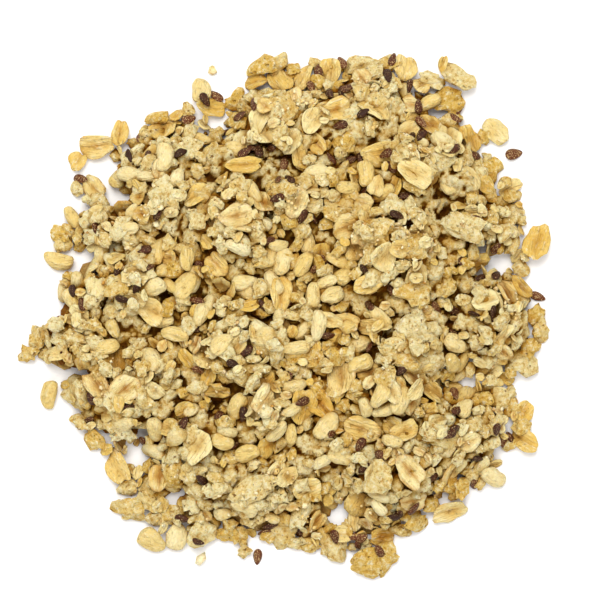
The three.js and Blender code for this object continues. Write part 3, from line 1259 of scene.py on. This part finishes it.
@dataclass
class Core:
    """The baked mass inside the heap, flat below: crust in the clusters, a bed between them darkened by
    painted shade.
    """

    rim: float = 4.5
    slope: float = 1.1
    deep: float = 6.0
    shallow: float = 0.7
    stamps: int = 3000
    stamp_length: Range = (3.0, 7.5)
    stamp_width: Range = (2.4, 4.6)
    granules: int = 5000
    granule_radius: Range = (0.5, 1.2)
    pit_depth: float = 1.8
    thinnest: float = 0.3
    gap_depth: float = 7.0
    gap_edge: float = 0.8
    least: float = 1.5
    foot: float = 0.6
    base: float = 0.4
    stamp_out: float = 0.55
    stamp_lean: float = 0.3
    granule_out: float = 0.4
    granule_lean: float = 0.5
    cavity: float = 0.8
    heights: Array = field(init=False)
    tones: Array = field(init=False)

    def bake(self, form: HeapForm) -> None:
        """Works out the core's upper surface.

        It lies below the heap's smooth form, deep between the clusters and close to it in them, and
        slopes down to the table inside the rim. Pieces that baked into it stand out as the caps of
        ellipsoids, each with a tone of its own, and are melted together by a narrow blur. Granules
        stand on them as smaller caps, the whole is rough, and pits open where a finer roughness is
        at its lowest.

        Args:
            form: The heap's form.
        """
        depth = self.deep + (self.shallow - self.deep) * form.cluster
        depth = depth + self.gap_depth * GRID.blur(form.gap * 1.0, self.gap_edge, 2)
        body = np.clip(np.minimum(form.smooth - depth, (form.inset - self.rim) * self.slope), 0, None)
        body = np.where(form.inset > self.rim + 1.5, np.maximum(body, self.least), body)
        rows, columns = np.nonzero(body > self.foot)
        self.heights, self.tones = body.copy(), np.full(body.shape, 0.5)
        picked = RNG.integers(0, len(rows), self.stamps)
        for j, i in zip(rows[picked], columns[picked]):
            size = RNG.random()
            ranges = np.array((self.stamp_length, self.stamp_width))
            length, width = 0.5 * (ranges[:, 0] + (ranges[:, 1] - ranges[:, 0]) * size)
            half = np.array((length, width, width * 0.8))
            self.stamp((j, i), half, random_turn(self.stamp_lean), self.stamp_out, RNG.random())
        self.heights = GRID.blur(self.heights, GRID.step, 1)
        picked = RNG.integers(0, len(rows), self.granules)
        for j, i in zip(rows[picked], columns[picked]):
            half = RNG.uniform(*self.granule_radius) * np.array((1.3, 1.0, 0.8))
            self.stamp((j, i), half, random_turn(self.granule_lean), self.granule_out, None)
        self.heights += GRID.rough((0.4, 0.12), (0.8, 0.18), (2.0, 0.3))
        self.heights -= self.pit_depth * np.clip(GRID.rough((0.8, 1.0)) - 1.3, 0, 1)
        self.heights = np.where(body > self.base, np.maximum(self.heights, self.base), 0)

    def stamp(
        self, spot: tuple[int, int], half: Array, turn: Array, out: float, tone: float | None
    ) -> None:
        """Raises the surface to the cap of an ellipsoid.

        Args:
            spot: The row and column of its middle.
            half: Its half sizes.
            turn: Its rotation.
            out: The share of its half height that stands out.
            tone: Its tone, or None to keep what is there.
        """
        shell = Shell(Ellipsoid(GRID.line[spot[1]], GRID.line[spot[0]], half, turn))
        cap = self.heights[spot] - (1 - out) * shell.rise + shell.upper
        part = self.heights[shell.patch]
        higher = shell.inside & (cap > part)
        self.heights[shell.patch] = np.where(higher, cap, part)
        if tone is not None:
            self.tones[shell.patch] = np.where(higher, tone, self.tones[shell.patch])

    @staticmethod
    def cleaned(cell: Array) -> Array:
        """Takes out cells that touch another only at a corner, so that every edge has two faces.

        Args:
            cell: True where a cell stands.

        Returns:
            The cells that are left.
        """
        for _ in range(8):
            a, b, c, d = cell[:-1, :-1], cell[:-1, 1:], cell[1:, :-1], cell[1:, 1:]
            cell[:-1, :-1] &= ~(a & d & ~b & ~c)
            cell[:-1, 1:] &= ~(b & c & ~a & ~d)
        return cell

    def build(self, bed: Bed) -> None:
        """Makes the closed mesh: the upper surface, a wall down each edge, and a flat underside.

        Args:
            bed: The finished bed, which says how deep each point lies, for the painted shade.
        """
        form = bed.form
        x, y = np.meshgrid(GRID.line, GRID.line)
        solid = self.heights > self.thinnest
        cell = self.cleaned(solid[:-1, :-1] & solid[1:, :-1] & solid[:-1, 1:] & solid[1:, 1:])
        number = np.arange(x.size).reshape(x.shape)
        corners = [number[:-1, :-1], number[:-1, 1:], number[1:, 1:], number[1:, :-1]]
        top = np.stack([corner[cell] for corner in corners], axis=1)
        out = ~np.pad(cell, 1)
        bare = [cell & side for side in (out[:-2, 1:-1], out[1:-1, 2:], out[2:, 1:-1], out[1:-1, :-2])]
        pairs = [np.stack((corners[k][at], corners[(k + 1) % 4][at]), axis=1) for k, at in enumerate(bare)]
        edges = np.concatenate(pairs)
        walls = np.stack((edges[:, 0], edges[:, 0] + x.size, edges[:, 1] + x.size, edges[:, 1]), axis=1)
        floor = self.underside(cell, edges) + x.size
        used = np.unique(np.concatenate((top.ravel(), walls.ravel())))
        upper = np.stack((x.ravel(), y.ravel(), self.heights.ravel()), axis=1)
        points = np.concatenate((upper, upper * (1, 1, 0)))[used]
        across, along = points[:, 0], points[:, 1]
        # Painted shade: in the hollows of the surface, between the clusters, where it lies deep and under the
        # pieces, less near the rim; the toast share carries part of it.
        cavity = GRID.blur(self.heights, self.cavity, 2) - self.heights
        hollow_shade = np.clip(GRID.read(cavity, across, along), 0, 1)
        lift = bed.clustered(points)
        inner = np.clip((GRID.read(form.inset, across, along) - 3) / 7, 0.3, 1)
        depth = bed.depth(points) * (1 - 0.7 * lift) * inner
        values = {
            "grain": points,
            "tone": 0.7 * GRID.read(self.tones, across, along),
            "toast_and_shade": np.clip(0.5 * (1 - lift) + 0.8 * hollow_shade, 0, 1),
            "painted_shade": np.clip(depth + 0.8 * hollow_shade + 0.6 * inner * bed.tucked(points), 0, 1),
        }
        quads = np.concatenate((top, walls))
        surface = Surface(points, np.searchsorted(used, floor), np.searchsorted(used, quads), values)
        surface.build("granola_core", CRUST_FINISH.make(), Slot.GRANOLA)

    @staticmethod
    def underside(cell: Array, edges: Array) -> Array:
        """Fills the flat underside with triangles between its edges.

        Args:
            cell: True where the core stands.
            edges: The pairs of places along its edges.

        Returns:
            The triangles' places, facing down.
        """
        places, ends = np.unique(edges, return_inverse=True)
        flat = [(float(place % GRID.count), float(place // GRID.count)) for place in places]
        pairs = [tuple(map(int, pair)) for pair in ends.reshape(-1, 2)]
        made, _, faces, origin, _, _ = delaunay_2d_cdt(flat, pairs, [], 0, 1e-6)
        corner = np.array([(v.x, v.y) for v in made])
        faces = np.array(faces)
        middle = np.floor(corner[faces].mean(axis=1)).astype(int)
        kept = faces[cell[middle[:, 1], middle[:, 0]]]
        return places[np.array([first[0] for first in origin])][kept][:, ::-1]


# ---------------------------------------------------------------- the heap

RIM_LUMPS = placed(
    (21, 69, 9, 5, 0), (25, 67, 7, 7, 0), (15, 68.6, 5, 4, 0), (2.8, 67, 5, 4, 90),
    (48.4, 65, 9.4, 6.4, -40), (42, 64.6, 7, 4.6, -20), (45.5, 59.5, 8, 6.4, 5), (-14, 58.6, 6.5, 5.6, 40),
    (55.8, 48.8, 4.4, 3.6, 60), (58, 39.5, 6.5, 5.5, 110), (63.8, 32, 4.6, 4, 0), (64, 28, 5.5, 5, 0),
    (60, 29.5, 5.5, 5, 60), (66.3, 12, 4.8, 4, 30), (63, 8.5, 5.5, 4, 0), (66.5, 3.5, 6, 5, 20),
    (70.5, -1.5, 7.4, 6, 60), (72, -5.4, 6.4, 5, 80), (69, -10, 7, 6.4, 30), (66.6, -14.4, 7, 6.4, 0),
    (60, -24, 7.5, 6.5, 100), (63.4, -23, 3.6, 3, 60), (66.4, -32.2, 5.6, 4.6, 0), (57, -40, 6, 4.6, 90),
    (-43.6, -55.7, 8, 7.6, 0), (-43.6, -49.4, 5.4, 4.6, 0), (-38, -49, 6, 5.2, 60), (-22, -62.6, 9, 6, 0),
    (-16, -62.8, 6, 4, 0), (-12.4, -63, 6.4, 5.2, 90), (-11, -67.7, 3.6, 3.2, 0), (-3.6, -63.2, 5.4, 4, 0),
    (0.5, -62.4, 7.5, 6.6, 80), (3.4, -65, 5.4, 4, 0), (7.5, -66, 5, 4.2, 0), (15, -66.4, 7.8, 7.4, 100),
    (24, -70.8, 8, 7, 0), (28.2, -69, 8.6, 6.4, 80), (33.2, -61.4, 5.4, 3.8, 0), (37, -58.8, 7.4, 5, 10),
    (-44.5, 40.5, 5, 3.4, 20), (-35.4, 53.8, 6.4, 4.4, 15), (-57.6, 34, 3.6, 4, 0), (-62.6, 22, 5.4, 5, 0),
    (-61.8, 18.6, 4.6, 4, 0), (-57, 4.5, 6.5, 6.4, 0), (-69, -7.2, 6, 5.4, 40), (-71.8, -12.4, 6.2, 5, 0),
    (-65, -11.5, 6.4, 4.6, 10), (-62, -12.8, 6, 4, 0), (-57, -3.8, 7.6, 5.2, 0),
    (-54.5, -12.3, 7.6, 6.6, 20), (-57, -21.8, 9.6, 6.4, -12), (-57.4, -31, 6.4, 4, -35),
    (-52.8, -35.6, 8, 5.4, -38), (-27, 56, 4.4, 3.6, 90), (28.5, 68, 6, 5, 20), (-9, 50, 9, 6, 20),
    (-5.6, 68.4, 7.6, 7, 15), (-1.4, 69.2, 5.6, 4.6, 60),
)
RIM_PUFFS = placed(
    (-23.5, 61.8, 7, 5.8, 88), (58.5, -46.4, 8.4, 4.8, -28), (-37, -64.6, 8.4, 7, -25),
    (-30, -63.2, 7.8, 6.2, 75), (-59.4, 26.3, 7.8, 3.8, -55), (-63.2, 14.4, 8.8, 5.2, -12),
    (-61, 6, 7.8, 5.4, 70), (-63.6, -5, 7.8, 5.4, 65), (-65.6, -23.4, 8.4, 4.8, 72),
)
RIM_FLAKES = placed(
    (-1, 64.6, 9.5, 6.6, 120), (-8, 64, 7.5, 4.4, 8), (5.5, 65.6, 9.4, 4.8, 75), (10.5, 64, 9, 5, 70),
    (13.2, 67.6, 7.6, 6.2, 85), (34, 68.4, 8.6, 6.8, 80), (38.6, 63.4, 7, 5.4, 50),
    (44.5, 69.4, 5, 2.8, 78), (-20.3, 57, 9.5, 5.4, -6), (59.4, 50.4, 8, 6.8, 140),
    (63.6, 34.8, 8, 3.6, 30), (70.8, 19.2, 11.4, 8, 78), (67.4, -28.2, 6.4, 5.6, 60),
    (67.6, -36.4, 9.4, 5.6, -30), (-46.4, -43.8, 12, 6.2, -58), (23, -61, 8.4, 4.4, 5),
    (46.6, -56, 10.8, 6.6, 15), (-52.4, 46.2, 11.6, 6.8, 8), (-46, 49.8, 8.6, 5, 80),
    (-57.8, 42, 6, 4.8, 60), (-53.4, 34.6, 8.4, 5.6, -50), (62, -18.6, 6.4, 3.4, -35),
)
SHOWN_FLAKES = placed(
    (-33.8, 51, 8.9, 7.8, 100), (45.6, 47.6, 11.9, 8.3, 80), (52.2, 48.2, 9.2, 5.4, 118),
    (-0.8, 5, 10, 6.7, 92), (-44, -21.4, 9.2, 7.6, 40), (15.8, -18.4, 9.6, 8.3, 95),
    (-37, 0.2, 8.8, 7, -30), (-10.8, 40.5, 11.1, 4.6, 5), (27.4, 44.2, 11, 6, 10),
    (36.4, 38, 10.6, 6.8, -30), (12.7, -2.5, 7.2, 4.4, 160), (25, 56.4, 10, 7, -48), (15, 56, 9, 7, 20),
    (8, 53, 8, 6, 60), (-13, 26.4, 9.4, 7, 10), (23.5, 7.6, 9.4, 5.4, 15), (-23.6, -37.6, 10.4, 7, 60),
    (5.3, -26, 11, 7.6, 80), (21.6, -32.6, 10, 8, -20), (45, -35, 9.5, 6.6, -25), (35, -44.4, 11, 7.2, -50),
    (47.4, -44.6, 10.5, 5.8, 65), (36, -52.6, 9, 6, 10), (24, -4.4, 9.6, 4.8, 5), (17.5, -3, 8, 5, -10),
    (-6.6, 53, 9, 7, 70), (33.5, -33, 8, 6, 30), (6.6, -49.4, 9, 6.4, 20), (-18.6, 13, 8, 6, 130),
    (40.4, 36.6, 8, 6, -45), (-49.6, -28, 8, 5.6, 20), (30, 34, 8, 6, 70), (-24, 32, 8.4, 6, 30),
    (61, -7, 9, 5, 75), (56, 3, 8, 6.4, 20), (4, 43.6, 8, 4.4, 100), (9, 46.6, 8.6, 4.6, -50),
)
SHOWN_PUFFS = placed(
    (-33.4, 42.6, 8.3, 5.2, 85), (-43.6, 23, 8, 4.2, 3), (22.6, 38, 7.8, 4.7, 95),
    (51.8, 36.8, 7.8, 5.2, 115), (9.4, -4, 8.9, 4.2, 85), (-0.4, 13.6, 8.2, 5.2, 82),
    (5.4, 12.8, 7.6, 4.2, 60), (-8.6, 32.8, 8, 4.6, 115), (-27.3, 7.2, 8.6, 5.6, 55),
    (-30, -6.4, 8.3, 4, 172), (3, -10.2, 8.6, 3.8, 3), (46.2, 35.2, 6.1, 4.8, 120),
    (-46.8, 36, 4.6, 3.6, 0), (8.3, 4.5, 7.5, 4.5, 85), (-13.8, 45.2, 7, 4.4, -25),
    (-34.6, 16.6, 8.2, 4.8, 75), (-26.8, 14.6, 7.2, 3.8, 95), (-35.6, 6.6, 6.6, 5, 10),
    (17.8, 34.4, 8, 4, 5), (-36.8, -13.4, 8.4, 5, -50), (-35.8, -33, 8.6, 5, 85),
    (-17, -36.2, 6.6, 4.4, -10), (-13, -26.4, 8.6, 5, 55), (-10, -39.4, 7.5, 5, 15), (-2, -33, 8, 4, 60),
    (-11, -54.4, 8, 5, -35), (-5.6, -7, 7.4, 4.8, 20), (-22.8, -1, 7, 4.6, 70), (11.6, -31.6, 9, 5, 55),
    (47.6, -9, 7, 4.8, -30), (26.4, -23.4, 7.4, 4.6, 60), (32.2, -24.6, 8.4, 4.6, 70),
    (15.6, -40.4, 7.4, 5, -20), (13.4, 4.4, 7, 4.4, 20), (-17, -9, 7.4, 4.4, 40), (-49, -10, 7, 4.4, 15),
    (21, -14.6, 7.6, 5, 30), (-44, -31, 7, 4.6, 30),
)
SHOWN_LUMPS = placed(
    (-23.6, 25, 7, 5.6, 80), (-33.7, 33.4, 7.4, 6.2, 90), (-26, 46.4, 7.4, 6.2, 80),
    (-19.4, 44, 6.4, 5.4, 90), (0.4, 55.4, 9.6, 8.6, 40), (-46.4, 7, 8.6, 8, 0), (15.6, 28, 8.6, 6.4, 0),
    (6.4, 36, 7, 6, 30), (1.8, 25.2, 6.4, 6, 0), (-1, 33.6, 7.4, 5, 0), (50, 23.2, 10, 7.6, -20),
    (17, 47.2, 7.4, 6, -20), (44.6, 6.6, 6.6, 5, 20), (36, 5.6, 8, 7.4, 0), (26, 22, 9, 6.4, 0),
    (35.2, 18, 8, 7, 0), (-38.6, -24.2, 6.6, 6, 0), (-9.6, -50, 9, 7, 30), (-25.2, -50, 8, 6.4, 0),
    (-25, -45, 8, 5, 20), (31, -8.8, 7, 6.4, 0), (35.4, -4.4, 7, 6, 60), (40, -13.4, 9, 8, 0),
    (26.4, -46.4, 8.4, 8, 0), (30, 28.4, 8, 6, 20), (23.6, 14.6, 7, 6, 60), (9.4, 64, 5, 4, 80),
)
SHOWN_SEEDS = [
    (-10.3, -11), (5.2, -25), (-27.8, -31), (45.7, -34), (36.2, -55), (41.2, -46.5), (22.2, -43.5),
    (27.2, -40), (21.2, -37), (-28.3, -58), (-24.3, -64.5), (-5.3, -62), (14.2, -63), (21.7, -63.5),
    (26.7, -67), (30.2, -57.5), (53.2, -48.5), (59.2, -33), (59.2, 10), (71.2, 4), (16.2, 69.5), (17.7, 62),
    (9.7, 67), (-43.3, 43), (-28.8, 44), (-57, 37), (-38.8, 17), (-10.8, 44), (-1.8, 31), (15.7, 51.5),
    (18.2, 42), (28.2, 43.5), (29.7, 40), (29, 65.5), (37.5, 57), (48.8, 56.8), (47.7, 53.8), (38.2, 52.5),
    (38.2, 49), (53.2, 43.5), (54.2, 25), (59.2, 17.5), (47.7, 0), (47.7, -23), (48.2, -27.5), (33.7, 32),
    (31.2, 26.5), (-7.4, -69), (5.2, 26), (-22, 59), (-19, 60.2), (-26.6, 53.6), (-12.3, 54.3),
    (61.5, -36.8), (4.2, -62.2), (-8.2, 57.4),
]
STRAY_SEED = Placing(64.5, 44, 5.2, 3, 12)
STRAY_CRUMBS = placed((-20, 67.7, 3.5, 3, 0), (-23.3, -69.6, 4.6, 4, 0))
DEEP_GAPS = [
    (-27.4, 29, 1.6), (-26.8, 25.6, 1.6), (-28.4, 22.6, 1.2), (-28.6, 42, 1.6), (-25.4, 41.2, 1.4),
    (-22, 41, 1.2), (-10, 43, 1.4), (-1.6, 43, 1.8), (2.8, 42.4, 1.6), (4.2, 38.6, 1.2), (-22.5, 6.8, 2),
    (-38, 15, 1.7), (-33, 3.4, 1.7), (-50, 2.6, 1.3), (-38.2, 7.4, 1.1), (-41.4, -2.6, 2.2),
    (-29.6, -2, 1.7), (-47, 18.6, 1.3), (-43.6, 16, 1.2), (10.4, 29.6, 1.2), (10, 26, 1.2),
    (13.6, 20.4, 1.9), (2, 20, 1.6), (8.4, 20, 1), (-5.6, 30, 1.4), (-3.6, 26.4, 1.1), (26, 48.2, 1.6),
    (29.6, 48.8, 1.1), (23.6, 46, 1.1), (18.6, 42, 1.7), (42.6, 42.6, 1.2), (41, 45.6, 1), (44, 32, 1.7),
    (44.4, 28.6, 1.7), (46.4, 26.6, 1.3), (31, 25, 1), (38, 23, 1), (44, 22, 1), (56.6, 19, 1),
    (40.6, 5.6, 1.6), (47, 9, 1.5), (48.2, 4, 1.6), (28, 7.6, 1.1), (27, 4, 1.5), (32.4, 2, 2),
    (19, 1, 1.1), (18.2, 7.6, 1.3), (14.8, 6.4, 1.1), (-3.6, -2.6, 1.6), (-6.4, -3, 1.1), (-10, -8, 1),
    (-13, -20.4, 1.8), (-18, -25.4, 1.8), (-20.6, -29, 1.3), (-24.6, -25.4, 1.4), (-34.6, -19, 1.3),
    (-39, -29, 1.7), (-40, -33, 1.1), (-33, -34.4, 1.1), (-20, -38, 1.6), (-16, -39.4, 1.1),
    (-1, -29.6, 1.2), (-6.6, -29.6, 1.1), (-5.6, -23, 1.2), (8, -33.4, 1.2), (-29, -42, 1.3),
    (-21.6, -43.6, 1.5), (-2, -49, 1.2), (-52, -23.6, 1.2), (31, -4, 2), (27.6, -7, 1.7), (25.4, -11, 1.9),
    (21, -10, 1.1), (19, -17, 1.4), (10.4, -19, 1.1), (48, 0.6, 1.5), (45.6, -4, 1.6), (30.6, -22, 1.2),
    (23, -22.6, 1.2), (43, -21.6, 1.1), (14.4, -27.4, 1.5), (15.4, -31, 1.2), (27.4, -33.6, 1.4),
    (21, -38, 1.4), (24.6, -41, 1.5), (21, -44.6, 1.7), (14.4, -44, 1.5), (16, -46, 1.2), (42, -46.4, 1.4),
    (34.6, -39, 1.1), (37.6, -31, 1.1), (31, -53.6, 1.1), (5, -43.6, 1.1), (3.6, -62.8, 1.2), (-36, -46, 1),
    (-8, -37, 1),
]
BARE_SPOTS = [
    (-46, 32, 3.6), (-43.6, 33.4, 1.6), (-49.6, 36.4, 1.6), (-51.4, 39.6, 2.8), (-48, 40, 1.8),
    (-57.5, 15, 2), (-66.5, 2, 5.5), (-71, 4, 5), (-72, -2, 3), (-61.5, 0.8, 2.4), (-66, 8, 2.6),
    (-63, 10, 1.6), (-59, 11, 1), (-67.5, -17.2, 2.4), (-63, -17.3, 2.8), (-59, -17.2, 2.2),
    (-54.5, -17.2, 1.6), (-61.5, -25, 2.2), (-62, -28.6, 3), (-41.5, -40.5, 2.6), (-31, -52, 2.2),
    (17, -57.4, 2.4), (13.6, -57.2, 1.8), (51.4, -20, 2.6), (61.2, 13.6, 2.6), (-18.8, 53, 2.4),
    (41.8, 56.2, 2.2), (46, 55.5, 1), (57, 45.2, 1.8), (62.8, 38.2, 1.5), (68.4, 29.4, 1.4),
    (68.4, 26, 1.4), (68.2, 8.2, 1.4), (64.5, -24, 1.6), (59.4, -38.6, 1.8), (-8.5, -64.4, 1.4),
    (70.5, 10, 2.6), (66, -20, 2.2), (-56.5, 30.6, 1.4), (-54.6, 38.6, 1.2), (-13.6, 63, 1.8),
    (-16, 61.6, 1.4), (-30, 57.6, 2), (41, 69, 2.4), (28, 72.6, 1.6), (9, 71.5, 1.8), (-69, -18, 2),
    (62, -38.8, 1.6), (52, -52, 1.6), (29, -63.6, 1.3), (18.4, -72, 2.4),
]


@dataclass
class Granola:
    """The whole heap: the core and each kind of piece on it."""

    core: Core = field(default_factory=Core)
    chunks: Lumps = field(
        default_factory=lambda: Lumps(
            "oat_chunks", Slot.GRANOLA, LUMP_FINISH, (6.0, 9.5), (5.0, 7.5), (4.5, 6.0), Ball(10, 16),
            Ball(10, 16), likes_clusters=8.0, sink=0.75, proud=1.2, faceted=True,
        )
    )
    lumps: Lumps = field(
        default_factory=lambda: Lumps(
            "oat_lumps", Slot.GRANOLA, LUMP_FINISH, (3.4, 7.4), (2.9, 5.6), (2.5, 4.4), Ball(6, 9),
            Ball(8, 12), likes_clusters=0.6, sink=0.4, faceted=True,
        )
    )
    flakes: Flakes = field(
        default_factory=lambda: Flakes(
            "oat_flakes", Slot.OAT_FLAKE, FLAKE_FINISH, (6.0, 9.8), (4.6, 7.6), (2.0, 4.2), Ball(5, 12),
            Ball(9, 24), on_edge=0.2, sink=0.35, proud=1.4,
        )
    )
    shards: Flakes = field(
        default_factory=lambda: Flakes(
            "oat_shards", Slot.OAT_FLAKE, FLAKE_FINISH, (2.8, 6.0), (2.0, 4.2), (1.0, 2.2), Ball(4, 9),
            Ball(4, 9), likes_clusters=0.8, lean=0.5, on_edge=0.3, body=0.4,
        )
    )
    puffs: Puffs = field(
        default_factory=lambda: Puffs(
            "crisp_puffs", Slot.CRISP_PUFF, PUFF_FINISH, (5.6, 8.6), (3.4, 4.8), (3.0, 4.2), Ball(6, 10),
            Ball(12, 20), likes_clusters=-1.0, sink=0.25, proud=1.6,
        )
    )
    linseeds: Linseeds = field(
        default_factory=lambda: Linseeds(
            "linseeds", Slot.LINSEED, LINSEED_FINISH, (3.9, 4.7), (2.1, 2.6), (1.1, 1.4), Ball(6, 9),
            Ball(8, 12), sink=0.35, lean=0.5, on_edge=0.2,
        )
    )
    seed_size: Range = (4.5, 2.5)
    nested_lump: float = 0.4
    nested_piece: float = 0.9
    rounds: int = 3
    filling_tries: int = 90

    def pour(self, bed: Bed) -> None:
        """Lets every kind of piece settle, a handful of each at a time, and then the ones that show.

        Args:
            bed: What they fall on.
        """
        lumps, flakes, shards = self.lumps, self.flakes, self.shards
        puffs, linseeds = self.puffs, self.linseeds

        def pour(*shares: tuple[Kind, int], **how: bool | int) -> None:
            """Pours so many pieces of each kind in turn."""
            for kind, count in shares:
                kind.pour(bed, count, **how)

        handful = ((puffs, 55), (flakes, 62), (lumps, 190), (shards, 120), (linseeds, 18))
        for kind, places in ((lumps, RIM_LUMPS), (puffs, RIM_PUFFS), (flakes, RIM_FLAKES)):
            kind.set_down(bed, places)
        pour((self.chunks, 60), (puffs, 30), (lumps, 220), (flakes, 60), (linseeds, 40), baked_in=True)
        pour(*handful * self.rounds)
        lumps.set_down(bed, SHOWN_LUMPS, self.nested_lump)
        flakes.set_down(bed, SHOWN_FLAKES, self.nested_piece)
        puffs.set_down(bed, SHOWN_PUFFS, self.nested_piece)
        pour(*handful * self.rounds, (lumps, 1000))
        seeds = [Placing(x, y, *self.seed_size, RNG.uniform(0, 360)) for x, y in SHOWN_SEEDS]
        linseeds.set_down(bed, [*seeds, STRAY_SEED])
        pour((lumps, 800), (linseeds, 70), (shards, 700))
        pour((lumps, 500), (shards, 400), tries=self.filling_tries)

    def build(self) -> None:
        """Makes the heap, from the core up."""
        form = HeapForm()
        form.survey(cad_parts[HEAP_NODE])
        self.core.bake(form)
        bed = Bed(form, self.core.heights.copy())
        self.pour(bed)
        self.core.build(bed)
        for kind in (self.chunks, self.lumps, self.flakes, self.shards, self.puffs, self.linseeds):
            kind.build(bed)
        smooth = self.linseeds.poured + self.linseeds.shown + self.puffs.shown + self.flakes.shown
        Crumbs().build(bed, smooth, STRAY_CRUMBS)


# ---------------------------------------------------------------- the studio


@dataclass
class Studio:
    """A white tabletop, a broad soft light beyond the heap, and a camera straight above it, in metres."""

    table_size: float = 3.0
    view_width: float = 0.1667
    view_middle: Range = (0.0045, 0.00306)
    view_level: float = 0.010
    camera_height: float = 1.0
    key_place: Place = (-0.12, 0.55, 1.2)
    key_size: float = 0.75
    key_power: float = 16.4
    key_tint: Colour = (1.0, 0.985, 0.95)
    fill_place: Place = (0.2, -0.7, 1.1)
    fill_size: float = 1.2
    fill_power: float = 6.0
    fill_tint: Colour = (1.0, 0.99, 0.97)
    ambient: Colour = (0.98, 0.985, 1.0)
    ambient_strength: float = 0.6

    def build(self) -> None:
        """Sets up the table, the lights, the surroundings and the camera."""
        self.add_table()
        self.add_light("key", self.key_place, self.key_size, self.key_power, self.key_tint)
        self.add_light("fill", self.fill_place, self.fill_size, self.fill_power, self.fill_tint)
        self.add_surroundings()
        self.add_camera()
        bpy.context.scene.view_settings.view_transform = "Standard"

    def add(self, name: str, data: bpy.types.ID, place: Place = (0, 0, 0)) -> bpy.types.Object:
        """Puts an object in the scene.

        Args:
            name: Its name.
            data: Its mesh, light or camera.
            place: Where it stands.

        Returns:
            The object.
        """
        made = bpy.data.objects.new(name, data)
        made.location = place
        bpy.context.scene.collection.objects.link(made)
        return made

    def add_table(self) -> None:
        """Makes the tabletop, a flat square just under the heap."""
        half = self.table_size / 2
        mesh = bpy.data.meshes.new("tabletop")
        corners = [(-half, -half, 0.0), (half, -half, 0.0), (half, half, 0.0), (-half, half, 0.0)]
        mesh.from_pydata(corners, [], [(0, 1, 2, 3)])
        mesh.materials.append(TABLE_FINISH.make())
        self.add("tabletop", mesh)

    def add_light(self, name: str, place: Place, size: float, power: float, tint: Colour) -> None:
        """Hangs a square soft light that faces the heap.

        Args:
            name: Its name.
            place: Where it hangs.
            size: Its side.
            power: Its power, in watts.
            tint: Its colour.
        """
        lamp = bpy.data.lights.new(name, "AREA")
        lamp.size, lamp.energy, lamp.color = size, power, tint
        x, y, z = place
        facing = (math.atan2(-y, z), math.atan2(x, math.hypot(y, z)), 0.0)
        self.add(name, lamp, place).rotation_euler = facing

    def add_surroundings(self) -> None:
        """Fills the room with even, slightly cool light."""
        world = bpy.data.worlds.new("room")
        world.use_nodes = True
        background = world.node_tree.nodes["Background"]
        background.inputs["Color"].default_value = (*self.ambient, 1.0)
        background.inputs["Strength"].default_value = self.ambient_strength
        bpy.context.scene.world = world

    def add_camera(self) -> None:
        """Puts the camera above the picture's middle, with the lens that frames its width."""
        camera = bpy.data.cameras.new("camera")
        distance = self.camera_height - self.view_level
        camera.lens = camera.sensor_width * distance / self.view_width
        place = (*self.view_middle, self.camera_height)
        bpy.context.scene.camera = self.add("camera", camera, place)


def main() -> None:
    logging.basicConfig(level=logging.INFO, format="%(message)s")
    Granola().build()
    Studio().build()


if __name__ == "__main__":
    main()
